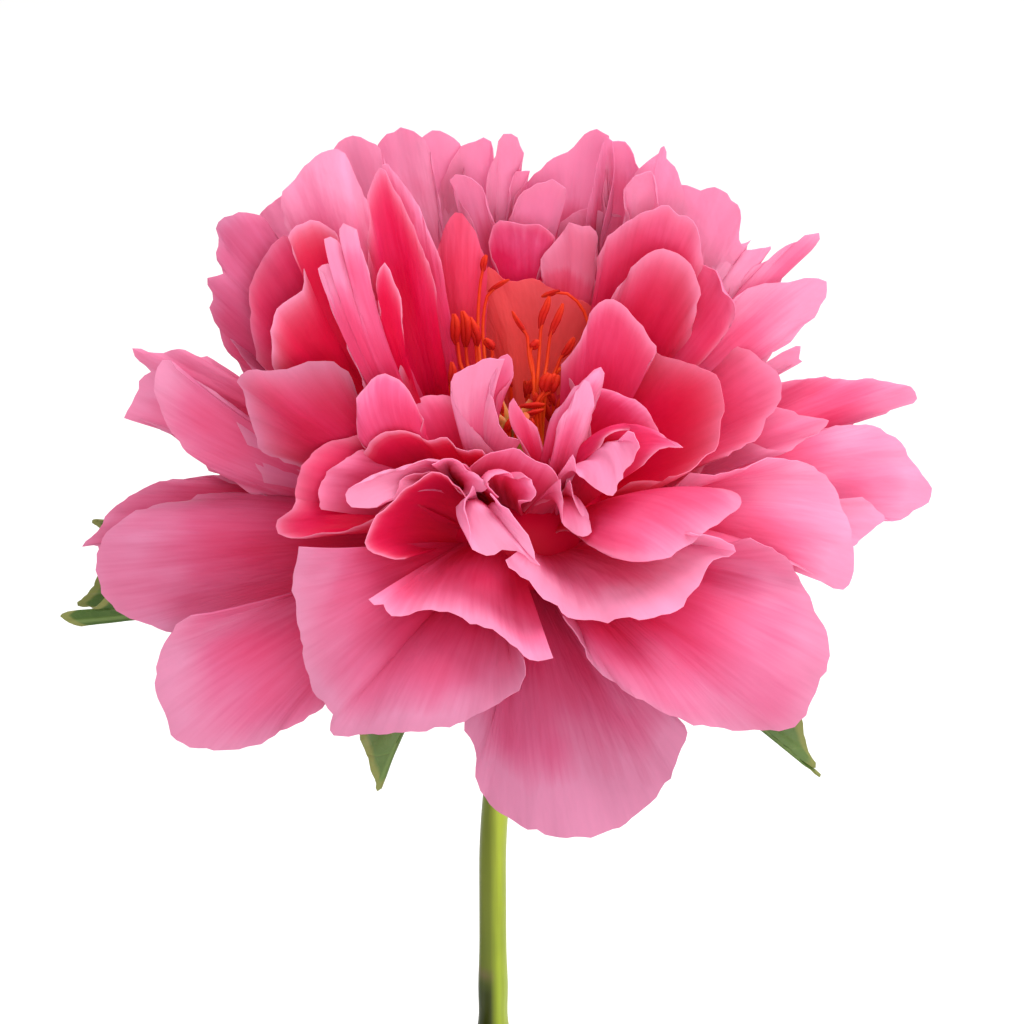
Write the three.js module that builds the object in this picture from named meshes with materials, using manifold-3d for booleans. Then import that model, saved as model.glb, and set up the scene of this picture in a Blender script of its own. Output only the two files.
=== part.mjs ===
import * as THREE from 'three';
import { mergeVertices } from 'three/addons/utils/BufferGeometryUtils.js';
import Module from 'manifold-3d';

const wasm = await Module();
wasm.setup();

// Sizes are in mm. The pot stands on z = 0 and the z axis is its middle.
const fit = 0.3;
const pot = {
  height: 150, footRadius: 66, shoulderRadius: 83, lipRadius: 92, collarHeight: 32, collarOut: 4,
  wall: 6, floor: 9, drains: 4, drainRadius: 5, drainAt: 32, segments: 36,
};
const soil = { top: 132, mound: 6, grain: 1.5, rings: 4 };
const stem = {
  footRadius: 3.7, topRadius: 2.7, buried: 48, knot: 0.8, knotHalf: 9, sides: 9, bend: 70, upright: 5,
};
const bloomHeight = 462;
const bloomAside = 4.2;
const blade = 0.8;
const clawHalfWidth = 3.2;
const lapUnder = 3.5;
const goldenAngle = 2.39996;
const latheSegments = 16;

// The heart of the bloom is where its stem would meet the petals. Receptacle and core: radius and
// height from the heart, lowest first.
const receptacleProfile = [[0, -16], [3, -16], [5.5, -14.5], [11, -12], [16, -9.3], [0, -9.3]];
const coreProfile = [[0, -9], [16, -9], [20, -7], [20, 0], [17, 6], [12, 9], [9.8, 8], [0, 8]];
const discHeight = 8;

// Petals are placed as the front of the bloom shows them: mm to the right of the heart, mm above it
// and mm behind it, for an eye this far off that looks down by this angle.
const sight = { tilt: THREE.MathUtils.degToRad(28), distance: 569 };

// Where the petals of each ring are rooted on the core: radius and height, outermost ring first.
const rings = [[12, -6], [12, -3], [11.5, 0], [10.5, 2.5], [9.6, 4.5]];

// name, ring, middle of the spine, tip, edge at the left hand, edge at the right hand, then how far
// along the shoulder is, how blunt the end is, how far it curls or rolls, and its cuts.
const petals = [
  ['guardFront', 0, [9.6, -35, -44], [12.6, -65.5, -64], [33.6, -43, -58], [-8.5, -47, -60],
    { shoulder: 0.62, curl: -3 }],
  ['guardFrontLeft', 1, [-19, -15, -34], [-18, -44.5, -60], [4.5, -29, -54], [-44.5, -19, -36],
    { shoulder: 0.58, blunt: 3, curl: -4 }],
  ['guardLeft', 1, [-45, -7, -14], [-83.5, -12, -16], [-53, -27, -38], [-55, 4.5, 12],
    { shoulder: 0.6, blunt: 2.1, curl: -2 }],
  ['guardLeftLow', 0, [-38, -20, -28], [-62, -46.5, -42], [-43, -41, -50], [-69, -27, -22],
    { shoulder: 0.7, blunt: 2.3, curl: -3 }],
  ['guardLeftBehind', 0, [-46, 1, 10], [-86.5, -7, 2], [-60, -16, -12], [-63, 8, 26],
    { shoulder: 0.64, blunt: 1.7 }],
  ['leftRise', 0, [-42, 14, 8], [-76.5, 26.5, 14], [-64, 11, 0], [-57, 30, 26],
    { shoulder: 0.72, blunt: 3, cuts: [[0.15, 0.11, 0.2]] }],
  ['leftFold', 1, [-49, 8, -4], [-70.5, 30, -4], [-66, 15, -6], [-55, 19, 0],
    { shoulder: 0.74, blunt: 2 }],
  ['guardRightLow', 0, [29, -18, -30], [55, -39.5, -40], [59, -14, -16], [27, -39, -54],
    { shoulder: 0.62, blunt: 2.3, curl: -3 }],
  ['guardRightFront', 1, [20, -6, -30], [27, -21.8, -56], [43.5, -5, -36], [3, -14, -50],
    { shoulder: 0.68, blunt: 2.2, curl: -2 }],
  ['fillRight', 2, [22, 2, -26], [38, -5, -38], [42, 5, -24], [20, -9, -42],
    { shoulder: 0.62, blunt: 2.2 }],
  ['guardRight', 1, [35, 3.5, -14], [68.5, -14.5, -24], [62, 8, -2], [47, -8, -36],
    { shoulder: 0.72, blunt: 2, curl: -4 }],
  ['guardRightFar', 0, [49, 9, 4], [83.8, 4.4, 6], [66, 17.5, 20], [69, -2, -10],
    { shoulder: 0.74, blunt: 1.9 }],
  ['guardRightUnder', 0, [42, 2, -2], [73.5, -4, -8], [66, 6, 6], [62, -9, -22],
    { shoulder: 0.7, blunt: 1.8 }],
  ['rightRise', 0, [50, 18, 16], [81, 23, 18], [66, 27, 32], [64, 17, 8],
    { shoulder: 0.66, blunt: 2 }],
  ['rightRiseLow', 1, [44, 13, 2], [63.6, 18.4, 0], [54, 21.5, 10], [54, 11, -8],
    { shoulder: 0.66 }],
  ['cupLeft', 2, [-31, 13, -14], [-44, 29.8, -10], [-54, 21, -20], [-30, 25, 0],
    { shoulder: 0.7, curl: 3, blunt: 2.8 }],
  ['knob', 3, [-23, 14, -17], [-25.6, 28, -14], [-17.4, 19, -17], [-31.4, 20, -18],
    { shoulder: 0.66, blunt: 2.4 }],
  ['tongueLeft', 3, [-17, 8, -24], [-33.8, 2.6, -34], [-25, 0.6, -36], [-25, 8.6, -26],
    { shoulder: 0.7 }],
  ['awning', 2, [-12, 5, -20], [-14.4, 8, -34], [-7, 2, -40], [-29.6, -6.6, -44],
    { shoulder: 0.84, blunt: 2 }],
  ['lobeFront', 3, [-6, 2, -34], [6, -11.2, -50], [1.6, -3.4, -46], [-8.6, -8.6, -46],
    { shoulder: 0.66, blunt: 1.5 }],
  ['fanFront', 2, [-10, -8, -34], [-6, -23, -54], [8.2, -29.4, -60], [-28.4, -18, -50],
    { shoulder: 0.9, blunt: 3 }],
  ['sideLeft', 2, [-26, 0, -24], [-47.6, -3, -32], [-32, -8, -40], [-42, 7, -14],
    { shoulder: 0.7 }],
  ['sideLeftUp', 2, [-25, 7, -18], [-43.4, 6, -24], [-38, 1, -30], [-36, 15, -10],
    { shoulder: 0.68, blunt: 2.4 }],
  ['crinkle', 4, [-1.6, 5.4, -24], [5, 3, -34], [0, 8, -28], [-3, 2.6, -33],
    { shoulder: 0.66 }],
  ['wavyRim', 3, [-11, 8, -14], [-17, 14.8, -18], [-5.6, 9, -22], [-28, 15.5, -22],
    { shoulder: 0.84 }],
  ['redLeft', 3, [-16, 12, -10], [-21, 22, -8], [-26, 12, -16], [-10, 21, -6],
    { shoulder: 0.7 }],
  ['redFront', 4, [0, 6, -16], [3, 12, -22], [9, 4, -26], [-9, 8, -22],
    { shoulder: 0.7 }],
  ['crescent', 4, [-6.4, 17, -12], [-4.4, 31.4, -14], [-12.8, 25, -16], [0, 28, -12],
    { shoulder: 0.78, blunt: 2.4 }],
  ['strip', 4, [5, 11, -14], [1, 22.5, -14], [0, 17, -14], [9.4, 7.4, -18],
    { shoulder: 0.66 }],
  ['keel', 3, [12, 13, -19], [17.4, 29, -14], [9.6, 16, -21], [15.8, 17, -18],
    { shoulder: 0.52 }],
  ['stub', 3, [11, 3.4, -26], [14.8, -5, -36], [14.6, 0.6, -32], [8.6, -1, -32],
    { shoulder: 0.66 }],
  ['curlRight', 3, [18.6, 10, -27], [20, 3.2, -36], [26, 12, -30], [14, 6.6, -30],
    { shoulder: 0.66, blunt: 2.6 }],
  ['hook', 3, [20, 14.4, -24], [34.4, 12.4, -30], [27, 17, -24], [24, 11, -28],
    { shoulder: 0.6 }],
  ['cupRed', 2, [23, 16, 0], [42.2, 22, -4], [23, 33, 14], [33, 8, -28],
    { shoulder: 0.66, blunt: 2.7, curl: 2 }],
  ['cupRedBehind', 1, [34, 18, 6], [54.2, 25, 2], [38, 34.6, 24], [44, 9, -18],
    { shoulder: 0.7, blunt: 2.5 }],
  ['leaning', 3, [16, 26, 2], [18.6, 43.2, 4], [8.4, 27, 2], [29, 33, 0],
    { shoulder: 0.62, blunt: 2.2 }],
  ['redRight', 3, [18, 16, -12], [25, 22, -14], [12, 24, -4], [28, 12, -24],
    { shoulder: 0.7 }],
  ['archRight', 2, [27, 36, 16], [30.6, 52.8, 14], [20.4, 43, 14], [37.4, 41, 6],
    { shoulder: 0.68, blunt: 2.3 }],
  ['ruffRight', 2, [27, 46, 22], [29, 61.8, 20], [17.6, 54, 20], [38.4, 54, 14],
    { shoulder: 0.74, cuts: [[0.35, 0.05, 0.1]], blunt: 2.8 }],
  ['backRight', 1, [36, 47, 28], [39, 65.4, 30], [31, 66, 32], [46.4, 55, 20],
    { shoulder: 0.8, blunt: 2.6 }],
  ['pointRight', 2, [27, 58, 30], [30.2, 74, 30], [25.6, 66, 30], [34, 65, 29],
    { shoulder: 0.7, blunt: 1.4 }],
  ['fingersRight', 1, [42, 42, 22], [61.8, 56.4, 22], [46, 53.5, 30], [55, 44, 12],
    { shoulder: 0.66, blunt: 1.6 }],
  ['paddleRight', 1, [40, 35, 14], [63.4, 45.6, 14], [54, 47, 22], [56, 33.6, 4],
    { shoulder: 0.74, blunt: 2.1 }],
  ['sliverRight', 1, [42, 44, 24], [48.4, 54.8, 28], [45, 54, 28], [50, 48, 22],
    { shoulder: 0.7, blunt: 1.6 }],
  ['tabRight', 1, [44, 26, 20], [58, 32.6, 22], [53, 33, 26], [54, 28, 18],
    { shoulder: 0.7 }],
  ['wallRight', 2, [35, 36, 12], [41, 47, 12], [34, 46, 18], [43.4, 37, 6],
    { shoulder: 0.7, blunt: 2.4 }],
  ['ridgeTop', 2, [14, 50, 38], [16.6, 77.4, 38], [4, 66, 36], [24.4, 70, 38],
    { shoulder: 0.74, blunt: 1.6 }],
  ['ridgeTopB', 3, [19, 50, 34], [21.4, 75.4, 34], [16, 66, 36], [25.6, 68, 32],
    { shoulder: 0.76 }],
  ['paleTop', 3, [24, 50, 24], [26.4, 68.6, 24], [21.6, 63, 26], [29.2, 64, 22],
    { shoulder: 0.74, blunt: 3 }],
  ['paleBack', 4, [12, 40, 28], [13, 58.4, 26], [5.6, 49, 29], [18.6, 52, 26],
    { shoulder: 0.7 }],
  ['scallop', 4, [3, 57, 34], [2.4, 46.2, 20], [-2.2, 55, 26], [8.8, 54, 26],
    { shoulder: 0.6, blunt: 2.2 }],
  ['spoon', 4, [4, 52, 32], [9, 66.6, 28], [2, 63, 30], [11.6, 62, 28],
    { shoulder: 0.74, blunt: 2.6 }],
  ['fingerTop', 3, [-1, 55, 34], [-0.6, 75.8, 32], [-3.4, 68, 32], [2.2, 68, 32],
    { shoulder: 0.8, blunt: 3 }],
  ['shardTop', 3, [-7, 50, 36], [-6, 75, 36], [-11, 68, 37], [-3, 67, 35],
    { shoulder: 0.76 }],
  ['crownTop', 2, [-17, 50, 34], [-21.4, 77.4, 34], [-28, 70, 32], [-12, 72, 37],
    { shoulder: 0.76, blunt: 2.2 }],
  ['crownTopB', 2, [-13, 50, 38], [-14.4, 76.4, 38], [-20, 70, 38], [-9, 70, 38],
    { shoulder: 0.76, blunt: 2.4 }],
  ['crownLeft', 2, [-26, 50, 28], [-31.4, 75.2, 27], [-37, 67, 24], [-24, 70, 30],
    { shoulder: 0.76, blunt: 2.4 }],
  ['domeLeft', 2, [-36, 71, 17], [-36, 57, 4], [-47, 61, 8], [-28, 61, 10],
    { shoulder: 0.64, blunt: 2.6 }],
  ['earBehind', 1, [-38, 42, 22], [-48, 64, 24], [-54, 56, 18], [-40, 66, 28],
    { shoulder: 0.76 }],
  ['earLeft', 1, [-42, 37, 8], [-57.4, 57.4, 10], [-61.6, 45, 2], [-46, 60, 20],
    { shoulder: 0.72, blunt: 2.5, cuts: [[-0.5, 0.08, 0.12]] }],
  ['earLeftLow', 1, [-42, 27, 6], [-60.4, 42, 6], [-55, 28, 0], [-55, 47, 14],
    { shoulder: 0.7 }],
  ['bandLeft', 2, [-42, 34, 4], [-48.4, 54, 4], [-53.4, 36, -4], [-40, 56, 14],
    { shoulder: 0.6 }],
  ['cupDark', 2, [-36, 32, 0], [-41, 58.6, 0], [-48.4, 34, -10], [-32, 54, 8],
    { shoulder: 0.66, roll: 2 }],
  ['fingersLeft', 3, [-27, 30, -10], [-34, 57.5, -6], [-38, 44, -10], [-28, 48, -6],
    { shoulder: 0.7, cuts: [[-0.15, 0.18, 0.16], [-0.62, 0.16, 0.14]] }],
  ['bladeLeft', 3, [-23.5, 32, -8], [-25.4, 50.5, -8], [-27, 38, -9], [-21.6, 38, -7],
    { shoulder: 0.5, blunt: 1.6 }],
  ['sailLeft', 3, [-20, 38, 4], [-26.6, 69.4, 6], [-31, 50, -2], [-11.4, 37, 8],
    { shoulder: 0.5, blunt: 1.6 }],
  ['sailLeftB', 3, [-16, 32, 14], [-20, 63, 16], [-24, 48, 10], [-10, 37, 18],
    { shoulder: 0.52, blunt: 1.7 }],
  ['wallBack', 4, [5, 30, 20], [4, 55, 28], [-8, 44, 26], [17, 44, 24],
    { shoulder: 0.66, blunt: 2.6 }],
  ['wallBackLeft', 3, [-8, 34, 30], [-10, 63, 34], [-19, 52, 30], [0, 56, 34],
    { shoulder: 0.7, blunt: 2.6 }],
  ['wallBackRight', 3, [18, 36, 26], [22, 59, 30], [10, 54, 32], [29, 50, 24],
    { shoulder: 0.7, blunt: 2.6 }],
];

// Rings that fill out the back of the bloom: how many, ring, first and last azimuth in degrees,
// reach, height of the tip, height of the middle, half width, how far the edges are lifted. Each petal
// of a ring lies with one edge over its neighbour and the other edge under the next one.
const backRings = [
  { count: 5, ring: 0, from: 24, to: 156, reach: 72, tip: -12, belly: -4, half: 25, cup: 2 },
  { count: 4, ring: 1, from: 40, to: 140, reach: 64, tip: 8, belly: 4, half: 24, cup: 3 },
  { count: 4, ring: 2, from: 48, to: 132, reach: 51, tip: 42, belly: 17, half: 21, cup: 5 },
];

// Stamens seen from the front: the anther's place, given like the petals are, and the bend of its stalk.
const frontStamens = [
  [[1.4, 38, 8], 1], [[6, 39.8, 10], 1], [[8.8, 38.4, 9], -1], [[4.4, 33.6, 4], 0.5], [[11.4, 33, 6], -1],
  [[-5.6, 50, 17], -2], [[9, 43.6, 14], 3], [[-12, 37, 6], -1], [[-9.6, 39.4, 8], 1], [[-8, 33.4, 3], -1],
];
const stamen = {
  more: 10, spread: 9, leanBack: 10, height: 24, stalkRadius: 0.45, antherRadius: 0.95, antherLength: 4.6,
  rootRadius: 6.1, discInner: 4.7, discOuter: 7.5, discThick: 1.1,
};
const carpel = { count: 4, radius: 2.7, height: 15, lean: 2.6, baseRadius: 4.3, baseThick: 1.2 };

// Leafy bracts under the bloom: middle and tip given like the petals are, and half width.
const bracts = [
  { middle: [-46, -17, 1], tip: [-90, -22, 4], half: 5 },
  { middle: [-42, -13, 9], tip: [-83, -13, 12], half: 3.2 },
  { middle: [-19, -27, -26], tip: [-26.8, -55.6, -36], half: 3.4 },
  { middle: [37, -27, -22], tip: [62.2, -53, -28], half: 4 },
  { middle: [20, -6, 34], tip: [40, 0, 66], half: 4.6 },
];
const bractRoot = { radius: 4, height: -13.6 };
const sepal = {
  count: 5, first: 20, length: 25, half: 8.4, drop: 7, cup: 1, rootRadius: 6, rootHeight: -12.6, thick: 1,
};

// Leaves: height on the stem, azimuth, length of the stalk and its rise in degrees, leaflets on each
// side branch and on the middle one, length of a leaflet.
const leaves = [
  { name: 'leaf_1', height: 330, azimuth: 232, stalk: 54, rise: 14, side: 1, middle: 1, length: 84 },
  { name: 'leaf_2', height: 285, azimuth: 350, stalk: 66, rise: 20, side: 1, middle: 3, length: 80 },
  { name: 'leaf_3', height: 255, azimuth: 170, stalk: 70, rise: 24, side: 1, middle: 3, length: 84 },
  { name: 'leaf_4', height: 226, azimuth: 292, stalk: 74, rise: 24, side: 1, middle: 3, length: 84 },
  { name: 'leaf_5', height: 188, azimuth: 76, stalk: 76, rise: 22, side: 3, middle: 3, length: 78 },
];
const leaflet = {
  slender: 0.195, droop: 38, fold: 14, thick: 0.8, steps: 4, swing: 52, outerShare: 0.8, sideShare: 0.86,
};
const petiole = {
  radius: 1.5, branch: 26, sides: 4, spread: 64, sideShare: 0.62, loneShare: 0.5, arch: 0.08,
};

const colours = {
  pot: 0xb5643c, soil: 0x3b2a1f, stem: 0x8fa540, leaf: 0x3f6a2c, calyx: 0x4d6b2a,
  petals: 0xe45f86, stamens: 0xd8431f, carpels: 0x9aa548,
};

function draw(seed) {
  let state = seed >>> 0;
  return () => {
    state = (state + 0x6d2b79f5) >>> 0;
    let mixed = Math.imul(state ^ (state >>> 15), 1 | state);
    mixed = (mixed + Math.imul(mixed ^ (mixed >>> 7), 61 | mixed)) ^ mixed;
    return ((mixed ^ (mixed >>> 14)) >>> 0) / 4294967296;
  };
}

function solidFrom(points, triangles) {
  const vertProperties = new Float32Array(points.length * 3);
  points.forEach((point, index) => point.toArray(vertProperties, index * 3));
  const triVerts = new Uint32Array(triangles.flat());
  return new wasm.Manifold(new wasm.Mesh({ numProp: 3, vertProperties, triVerts }));
}

function solidOf(geometry) {
  const bare = geometry.clone();
  bare.deleteAttribute('normal');
  bare.deleteAttribute('uv');
  const merged = mergeVertices(bare, 1e-4);
  const place = merged.getAttribute('position');
  const points = [];
  for (let index = 0; index < place.count; index += 1) {
    points.push(new THREE.Vector3().fromBufferAttribute(place, index));
  }
  const order = Array.from(merged.index.array);
  const triangles = [];
  for (let index = 0; index < order.length; index += 3) {
    const [a, b, c] = order.slice(index, index + 3);
    if (a !== b && b !== c && a !== c) triangles.push([a, b, c]);
  }
  return solidFrom(points, triangles);
}

// A closed profile of radius and height, lowest first, turned round the z axis.
function turned(profile, segments) {
  const points = profile.map(([radius, height]) => new THREE.Vector2(radius, height));
  const geometry = new THREE.LatheGeometry(points, segments);
  geometry.rotateX(Math.PI / 2);
  return solidOf(geometry);
}

function merge(solids) {
  return wasm.Manifold.union(solids);
}

// The largest closed body, without chips and pockets.
function wholeOf(solid) {
  const parts = solid.decompose();
  return parts.reduce((best, part) => (part.volume() > best.volume() ? part : best));
}

function meshOf(solid, name, colour, roughness) {
  const { vertProperties, triVerts, numProp } = solid.getMesh();
  const geometry = new THREE.BufferGeometry();
  const place = new Float32Array((vertProperties.length / numProp) * 3);
  for (let index = 0; index * numProp < vertProperties.length; index += 1) {
    for (let axis = 0; axis < 3; axis += 1) {
      place[index * 3 + axis] = vertProperties[index * numProp + axis];
    }
  }
  geometry.setAttribute('position', new THREE.BufferAttribute(place, 3));
  geometry.setIndex(new THREE.BufferAttribute(new Uint32Array(triVerts), 1));
  geometry.computeVertexNormals();
  const material = new THREE.MeshStandardMaterial({ color: colour, roughness, metalness: 0 });
  const mesh = new THREE.Mesh(geometry, material);
  mesh.name = name;
  return mesh;
}

// A grid of points as a closed blade: the same triangles on both faces, joined along the rim.
function bladeFrom(grid, thick) {
  const rows = grid.length;
  const columns = grid[0].length;
  const points = [];
  const clamp = THREE.MathUtils.clamp;
  const at = (row, column) => grid[clamp(row, 0, rows - 1)][clamp(column, 0, columns - 1)];
  for (const half of [thick / 2, -thick / 2]) {
    for (let row = 0; row < rows; row += 1) {
      for (let column = 0; column < columns; column += 1) {
        const across = at(row, column + 1).clone().sub(at(row, column - 1));
        const along = at(row + 1, column).clone().sub(at(row - 1, column));
        const normal = across.cross(along).normalize();
        points.push(at(row, column).clone().addScaledVector(normal, half));
      }
    }
  }
  const back = rows * columns;
  const triangles = [];
  for (let row = 0; row + 1 < rows; row += 1) {
    for (let column = 0; column + 1 < columns; column += 1) {
      const a = row * columns + column;
      const b = a + 1;
      const c = b + columns;
      const d = a + columns;
      triangles.push([a, b, c], [a, c, d], [back + a, back + c, back + b], [back + a, back + d, back + c]);
    }
  }
  const rim = [];
  for (let column = 0; column < columns - 1; column += 1) rim.push(column);
  for (let row = 0; row < rows - 1; row += 1) rim.push(row * columns + columns - 1);
  for (let column = columns - 1; column > 0; column -= 1) rim.push((rows - 1) * columns + column);
  for (let row = rows - 1; row > 0; row -= 1) rim.push(row * columns);
  rim.forEach((a, index) => {
    const b = rim[(index + 1) % rim.length];
    triangles.push([b, a, back + a], [b, back + a, back + b]);
  });
  return solidFrom(points, triangles);
}

// A closed tube along the points, with a radius at each of them.
function tube(path, radii, sides) {
  const points = [];
  const triangles = [];
  let side = new THREE.Vector3(1, 0, 0);
  path.forEach((point, index) => {
    const ahead = path[Math.min(index + 1, path.length - 1)].clone();
    const tangent = ahead.sub(path[Math.max(index - 1, 0)]).normalize();
    if (Math.abs(side.dot(tangent)) > 0.9) side = new THREE.Vector3(0, 1, 0);
    side = side.clone().addScaledVector(tangent, -side.dot(tangent)).normalize();
    const other = tangent.clone().cross(side);
    for (let corner = 0; corner < sides; corner += 1) {
      const angle = (corner / sides) * Math.PI * 2;
      const spoke = side.clone().multiplyScalar(Math.cos(angle)).addScaledVector(other, Math.sin(angle));
      points.push(point.clone().addScaledVector(spoke, radii[index]));
    }
  });
  for (let ring = 0; ring + 1 < path.length; ring += 1) {
    for (let corner = 0; corner < sides; corner += 1) {
      const next = (corner + 1) % sides;
      const a = ring * sides + corner;
      const b = ring * sides + next;
      triangles.push([a, b, b + sides], [a, b + sides, a + sides]);
    }
  }
  const last = (path.length - 1) * sides;
  for (let corner = 1; corner + 1 < sides; corner += 1) {
    triangles.push([0, corner + 1, corner], [last, last + corner, last + corner + 1]);
  }
  return solidFrom(points, triangles);
}

function bezier(start, knee, end, t) {
  const point = start.clone().multiplyScalar((1 - t) * (1 - t));
  return point.addScaledVector(knee, 2 * t * (1 - t)).addScaledVector(end, t * t);
}

// The knee that makes a curve from start to end pass through the middle point half way.
function kneeFor(start, middle, end) {
  return middle.clone().multiplyScalar(2).addScaledVector(start, -0.5).addScaledVector(end, -0.5);
}

// From right, above and behind, as seen from the front, to the bloom's own x, y and z.
function place([right, above, behind]) {
  const { tilt, distance } = sight;
  const sine = Math.sin(tilt);
  const cosine = Math.cos(tilt);
  const rise = above * (distance + behind * cosine) - behind * distance * sine;
  const height = rise / (distance * cosine + above * sine);
  const nearer = height * sine - behind * cosine;
  return new THREE.Vector3((right * (distance - nearer)) / distance, behind, height);
}

function petalFromSight([name, ring, middle, tip, left, right, form]) {
  return {
    name, ring, middle: place(middle), tip: place(tip), left: place(left), right: place(right), ...form,
  };
}

function backPetals() {
  const next = draw(11);
  const made = [];
  backRings.forEach((row) => {
    for (let index = 0; index < row.count; index += 1) {
      const share = (index + 0.25 * (next() - 0.5)) / (row.count - 1);
      const azimuth = THREE.MathUtils.degToRad(row.from + (row.to - row.from) * share);
      const out = new THREE.Vector3(Math.cos(azimuth), Math.sin(azimuth), 0);
      const aside = new THREE.Vector3(-out.y, out.x, 0);
      const reach = row.reach * (0.93 + 0.14 * next());
      const [rootRadius, rootHeight] = rings[row.ring];
      const root = out.clone().multiplyScalar(rootRadius).setZ(rootHeight);
      const middle = out.clone().multiplyScalar((reach + rootRadius) * 0.52).setZ(row.belly + 3 * next());
      const tip = out.clone().multiplyScalar(reach).setZ(row.tip + 7 * next());
      const shoulder = 0.66;
      const broad = bezier(root, kneeFor(root, middle, tip), tip, shoulder).setZ(0);
      const height = bezier(root, kneeFor(root, middle, tip), tip, shoulder).z + row.cup;
      made.push({
        name: 'back', ring: row.ring, middle, tip, shoulder, blunt: 2.3,
        left: broad.clone().addScaledVector(aside, row.half).setZ(height - lapUnder),
        right: broad.clone().addScaledVector(aside, -row.half).setZ(height + lapUnder),
      });
    }
  });
  return made;
}

function petalGrid(petal, index, rows, columns) {
  const { shoulder = 0.65, blunt = 2, curl = 0, roll = 0, cuts = [] } = petal;
  const [rootRadius, rootHeight] = rings[petal.ring];
  const bearing = Math.atan2(petal.middle.y, petal.middle.x);
  const root = new THREE.Vector3(rootRadius * Math.cos(bearing), rootRadius * Math.sin(bearing), rootHeight);
  const knee = kneeFor(root, petal.middle, petal.tip);
  const broad = bezier(root, knee, petal.tip, shoulder);
  const toLeft = petal.left.clone().sub(broad);
  const toRight = petal.right.clone().sub(broad);
  const claw = clawHalfWidth / Math.max(toLeft.length(), toRight.length());
  const grid = [];
  for (let row = 0; row <= rows; row += 1) {
    const t = row / rows;
    const line = [];
    for (let column = 0; column <= columns; column += 1) {
      const s = Math.sin((column / columns - 0.5) * Math.PI);
      let reach = shoulder + (1 - shoulder) * (1 - Math.abs(s) ** blunt) ** (1 / blunt);
      cuts.forEach(([at, deep, wide]) => {
        reach *= 1 - deep * Math.exp(-(((s - at) / wide) ** 2));
      });
      const along = t * reach;
      const open = claw + (1 - claw) * Math.sin((Math.PI / 2) * Math.min(along / shoulder, 1)) ** 2.3;
      const point = bezier(root, knee, petal.tip, along);
      point.addScaledVector(toLeft, (open * (s * s - s)) / 2);
      point.addScaledVector(toRight, (open * (s * s + s)) / 2);
      line.push({ point, s, t, along });
    }
    grid.push(line);
  }
  return bent(grid, ({ s, t, along }) => {
    const edge = Math.min((s ** 6 + t ** 6) ** (1 / 6), 1);
    const turn = Math.atan2(s, along - 0.25);
    const wave = 0.8 * t * edge ** 4 * Math.sin(3.3 * turn + index * 2.4);
    return curl * t ** 4 + roll * s ** 4 * t + wave;
  });
}

// The grid's points, each pushed along the normal there.
function bent(grid, push) {
  const at = (row, column) => {
    const line = grid[Math.min(Math.max(row, 0), grid.length - 1)];
    return line[Math.min(Math.max(column, 0), line.length - 1)].point;
  };
  return grid.map((line, row) => line.map((cell, column) => {
    const across = at(row, column + 1).clone().sub(at(row, column - 1));
    const along = at(row + 1, column).clone().sub(at(row - 1, column));
    return cell.point.clone().addScaledVector(across.cross(along).normalize(), push(cell));
  }));
}

const heart = [bloomAside, 0, bloomHeight];
const allPetals = [...petals.map(petalFromSight), ...backPetals()];

function petalSteps(size) {
  if (size > 84) return [5, 4];
  if (size > 50) return [4, 3];
  return size > 26 ? [3, 3] : [3, 2];
}

function petalBlades(thick) {
  return allPetals.map((petal, index) => {
    const size = petal.tip.distanceTo(petal.middle) + petal.left.distanceTo(petal.right);
    const [rows, columns] = petalSteps(size);
    return bladeFrom(petalGrid(petal, index, rows, columns), thick);
  });
}

function petalBody() {
  return wholeOf(merge([turned(coreProfile, latheSegments), ...petalBlades(blade)]));
}

const bloom = petalBody();
const keepClear = merge([turned(coreProfile, latheSegments), ...petalBlades(blade + 2 * fit)]);

function stamenBody() {
  const next = draw(5);
  const under = discHeight + fit;
  const disc = [
    [stamen.discInner, under], [stamen.discOuter, under], [stamen.discOuter, under + stamen.discThick],
    [stamen.discInner, under + stamen.discThick], [stamen.discInner, under],
  ];
  const anthers = frontStamens.map(([spot, bend]) => [place(spot), bend]);
  for (let index = 0; index < stamen.more; index += 1) {
    const azimuth = index * goldenAngle;
    const out = stamen.spread * (0.45 + 0.75 * next());
    const height = discHeight + stamen.height * (0.72 + 0.3 * next());
    const anther = new THREE.Vector3(out * Math.cos(azimuth), out * Math.sin(azimuth), height);
    anther.y += stamen.leanBack;
    anthers.push([anther, 3 * (next() - 0.5)]);
  }
  const made = [];
  anthers.forEach(([anther, bend]) => {
    const bearing = Math.atan2(anther.y - 2, anther.x);
    const root = new THREE.Vector3(Math.cos(bearing), Math.sin(bearing), 0);
    root.multiplyScalar(stamen.rootRadius).setZ(under + stamen.discThick / 2);
    const middle = root.clone().lerp(anther, 0.5).add(new THREE.Vector3(bend, 0, 0));
    const path = [0, 0.33, 0.67, 1].map((t) => bezier(root, kneeFor(root, middle, anther), anther, t));
    const stalk = tube(path, path.map(() => stamen.stalkRadius), 3);
    const tangent = anther.clone().sub(path[2]).normalize();
    const ends = [-0.1, 0.2, 0.75, 1.05].map((share) => anther.clone()
      .addScaledVector(tangent, stamen.antherLength * (share - 0.1)));
    const { antherRadius } = stamen;
    const bulb = tube(ends, [0.5 * antherRadius, antherRadius, 0.95 * antherRadius, 0.3 * antherRadius], 4);
    const whole = merge([stalk, bulb]);
    if (whole.minGap(bloom, 1) > fit) made.push(whole);
  });
  return wholeOf(merge([turned(disc, latheSegments).subtract(keepClear), ...made]));
}

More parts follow.
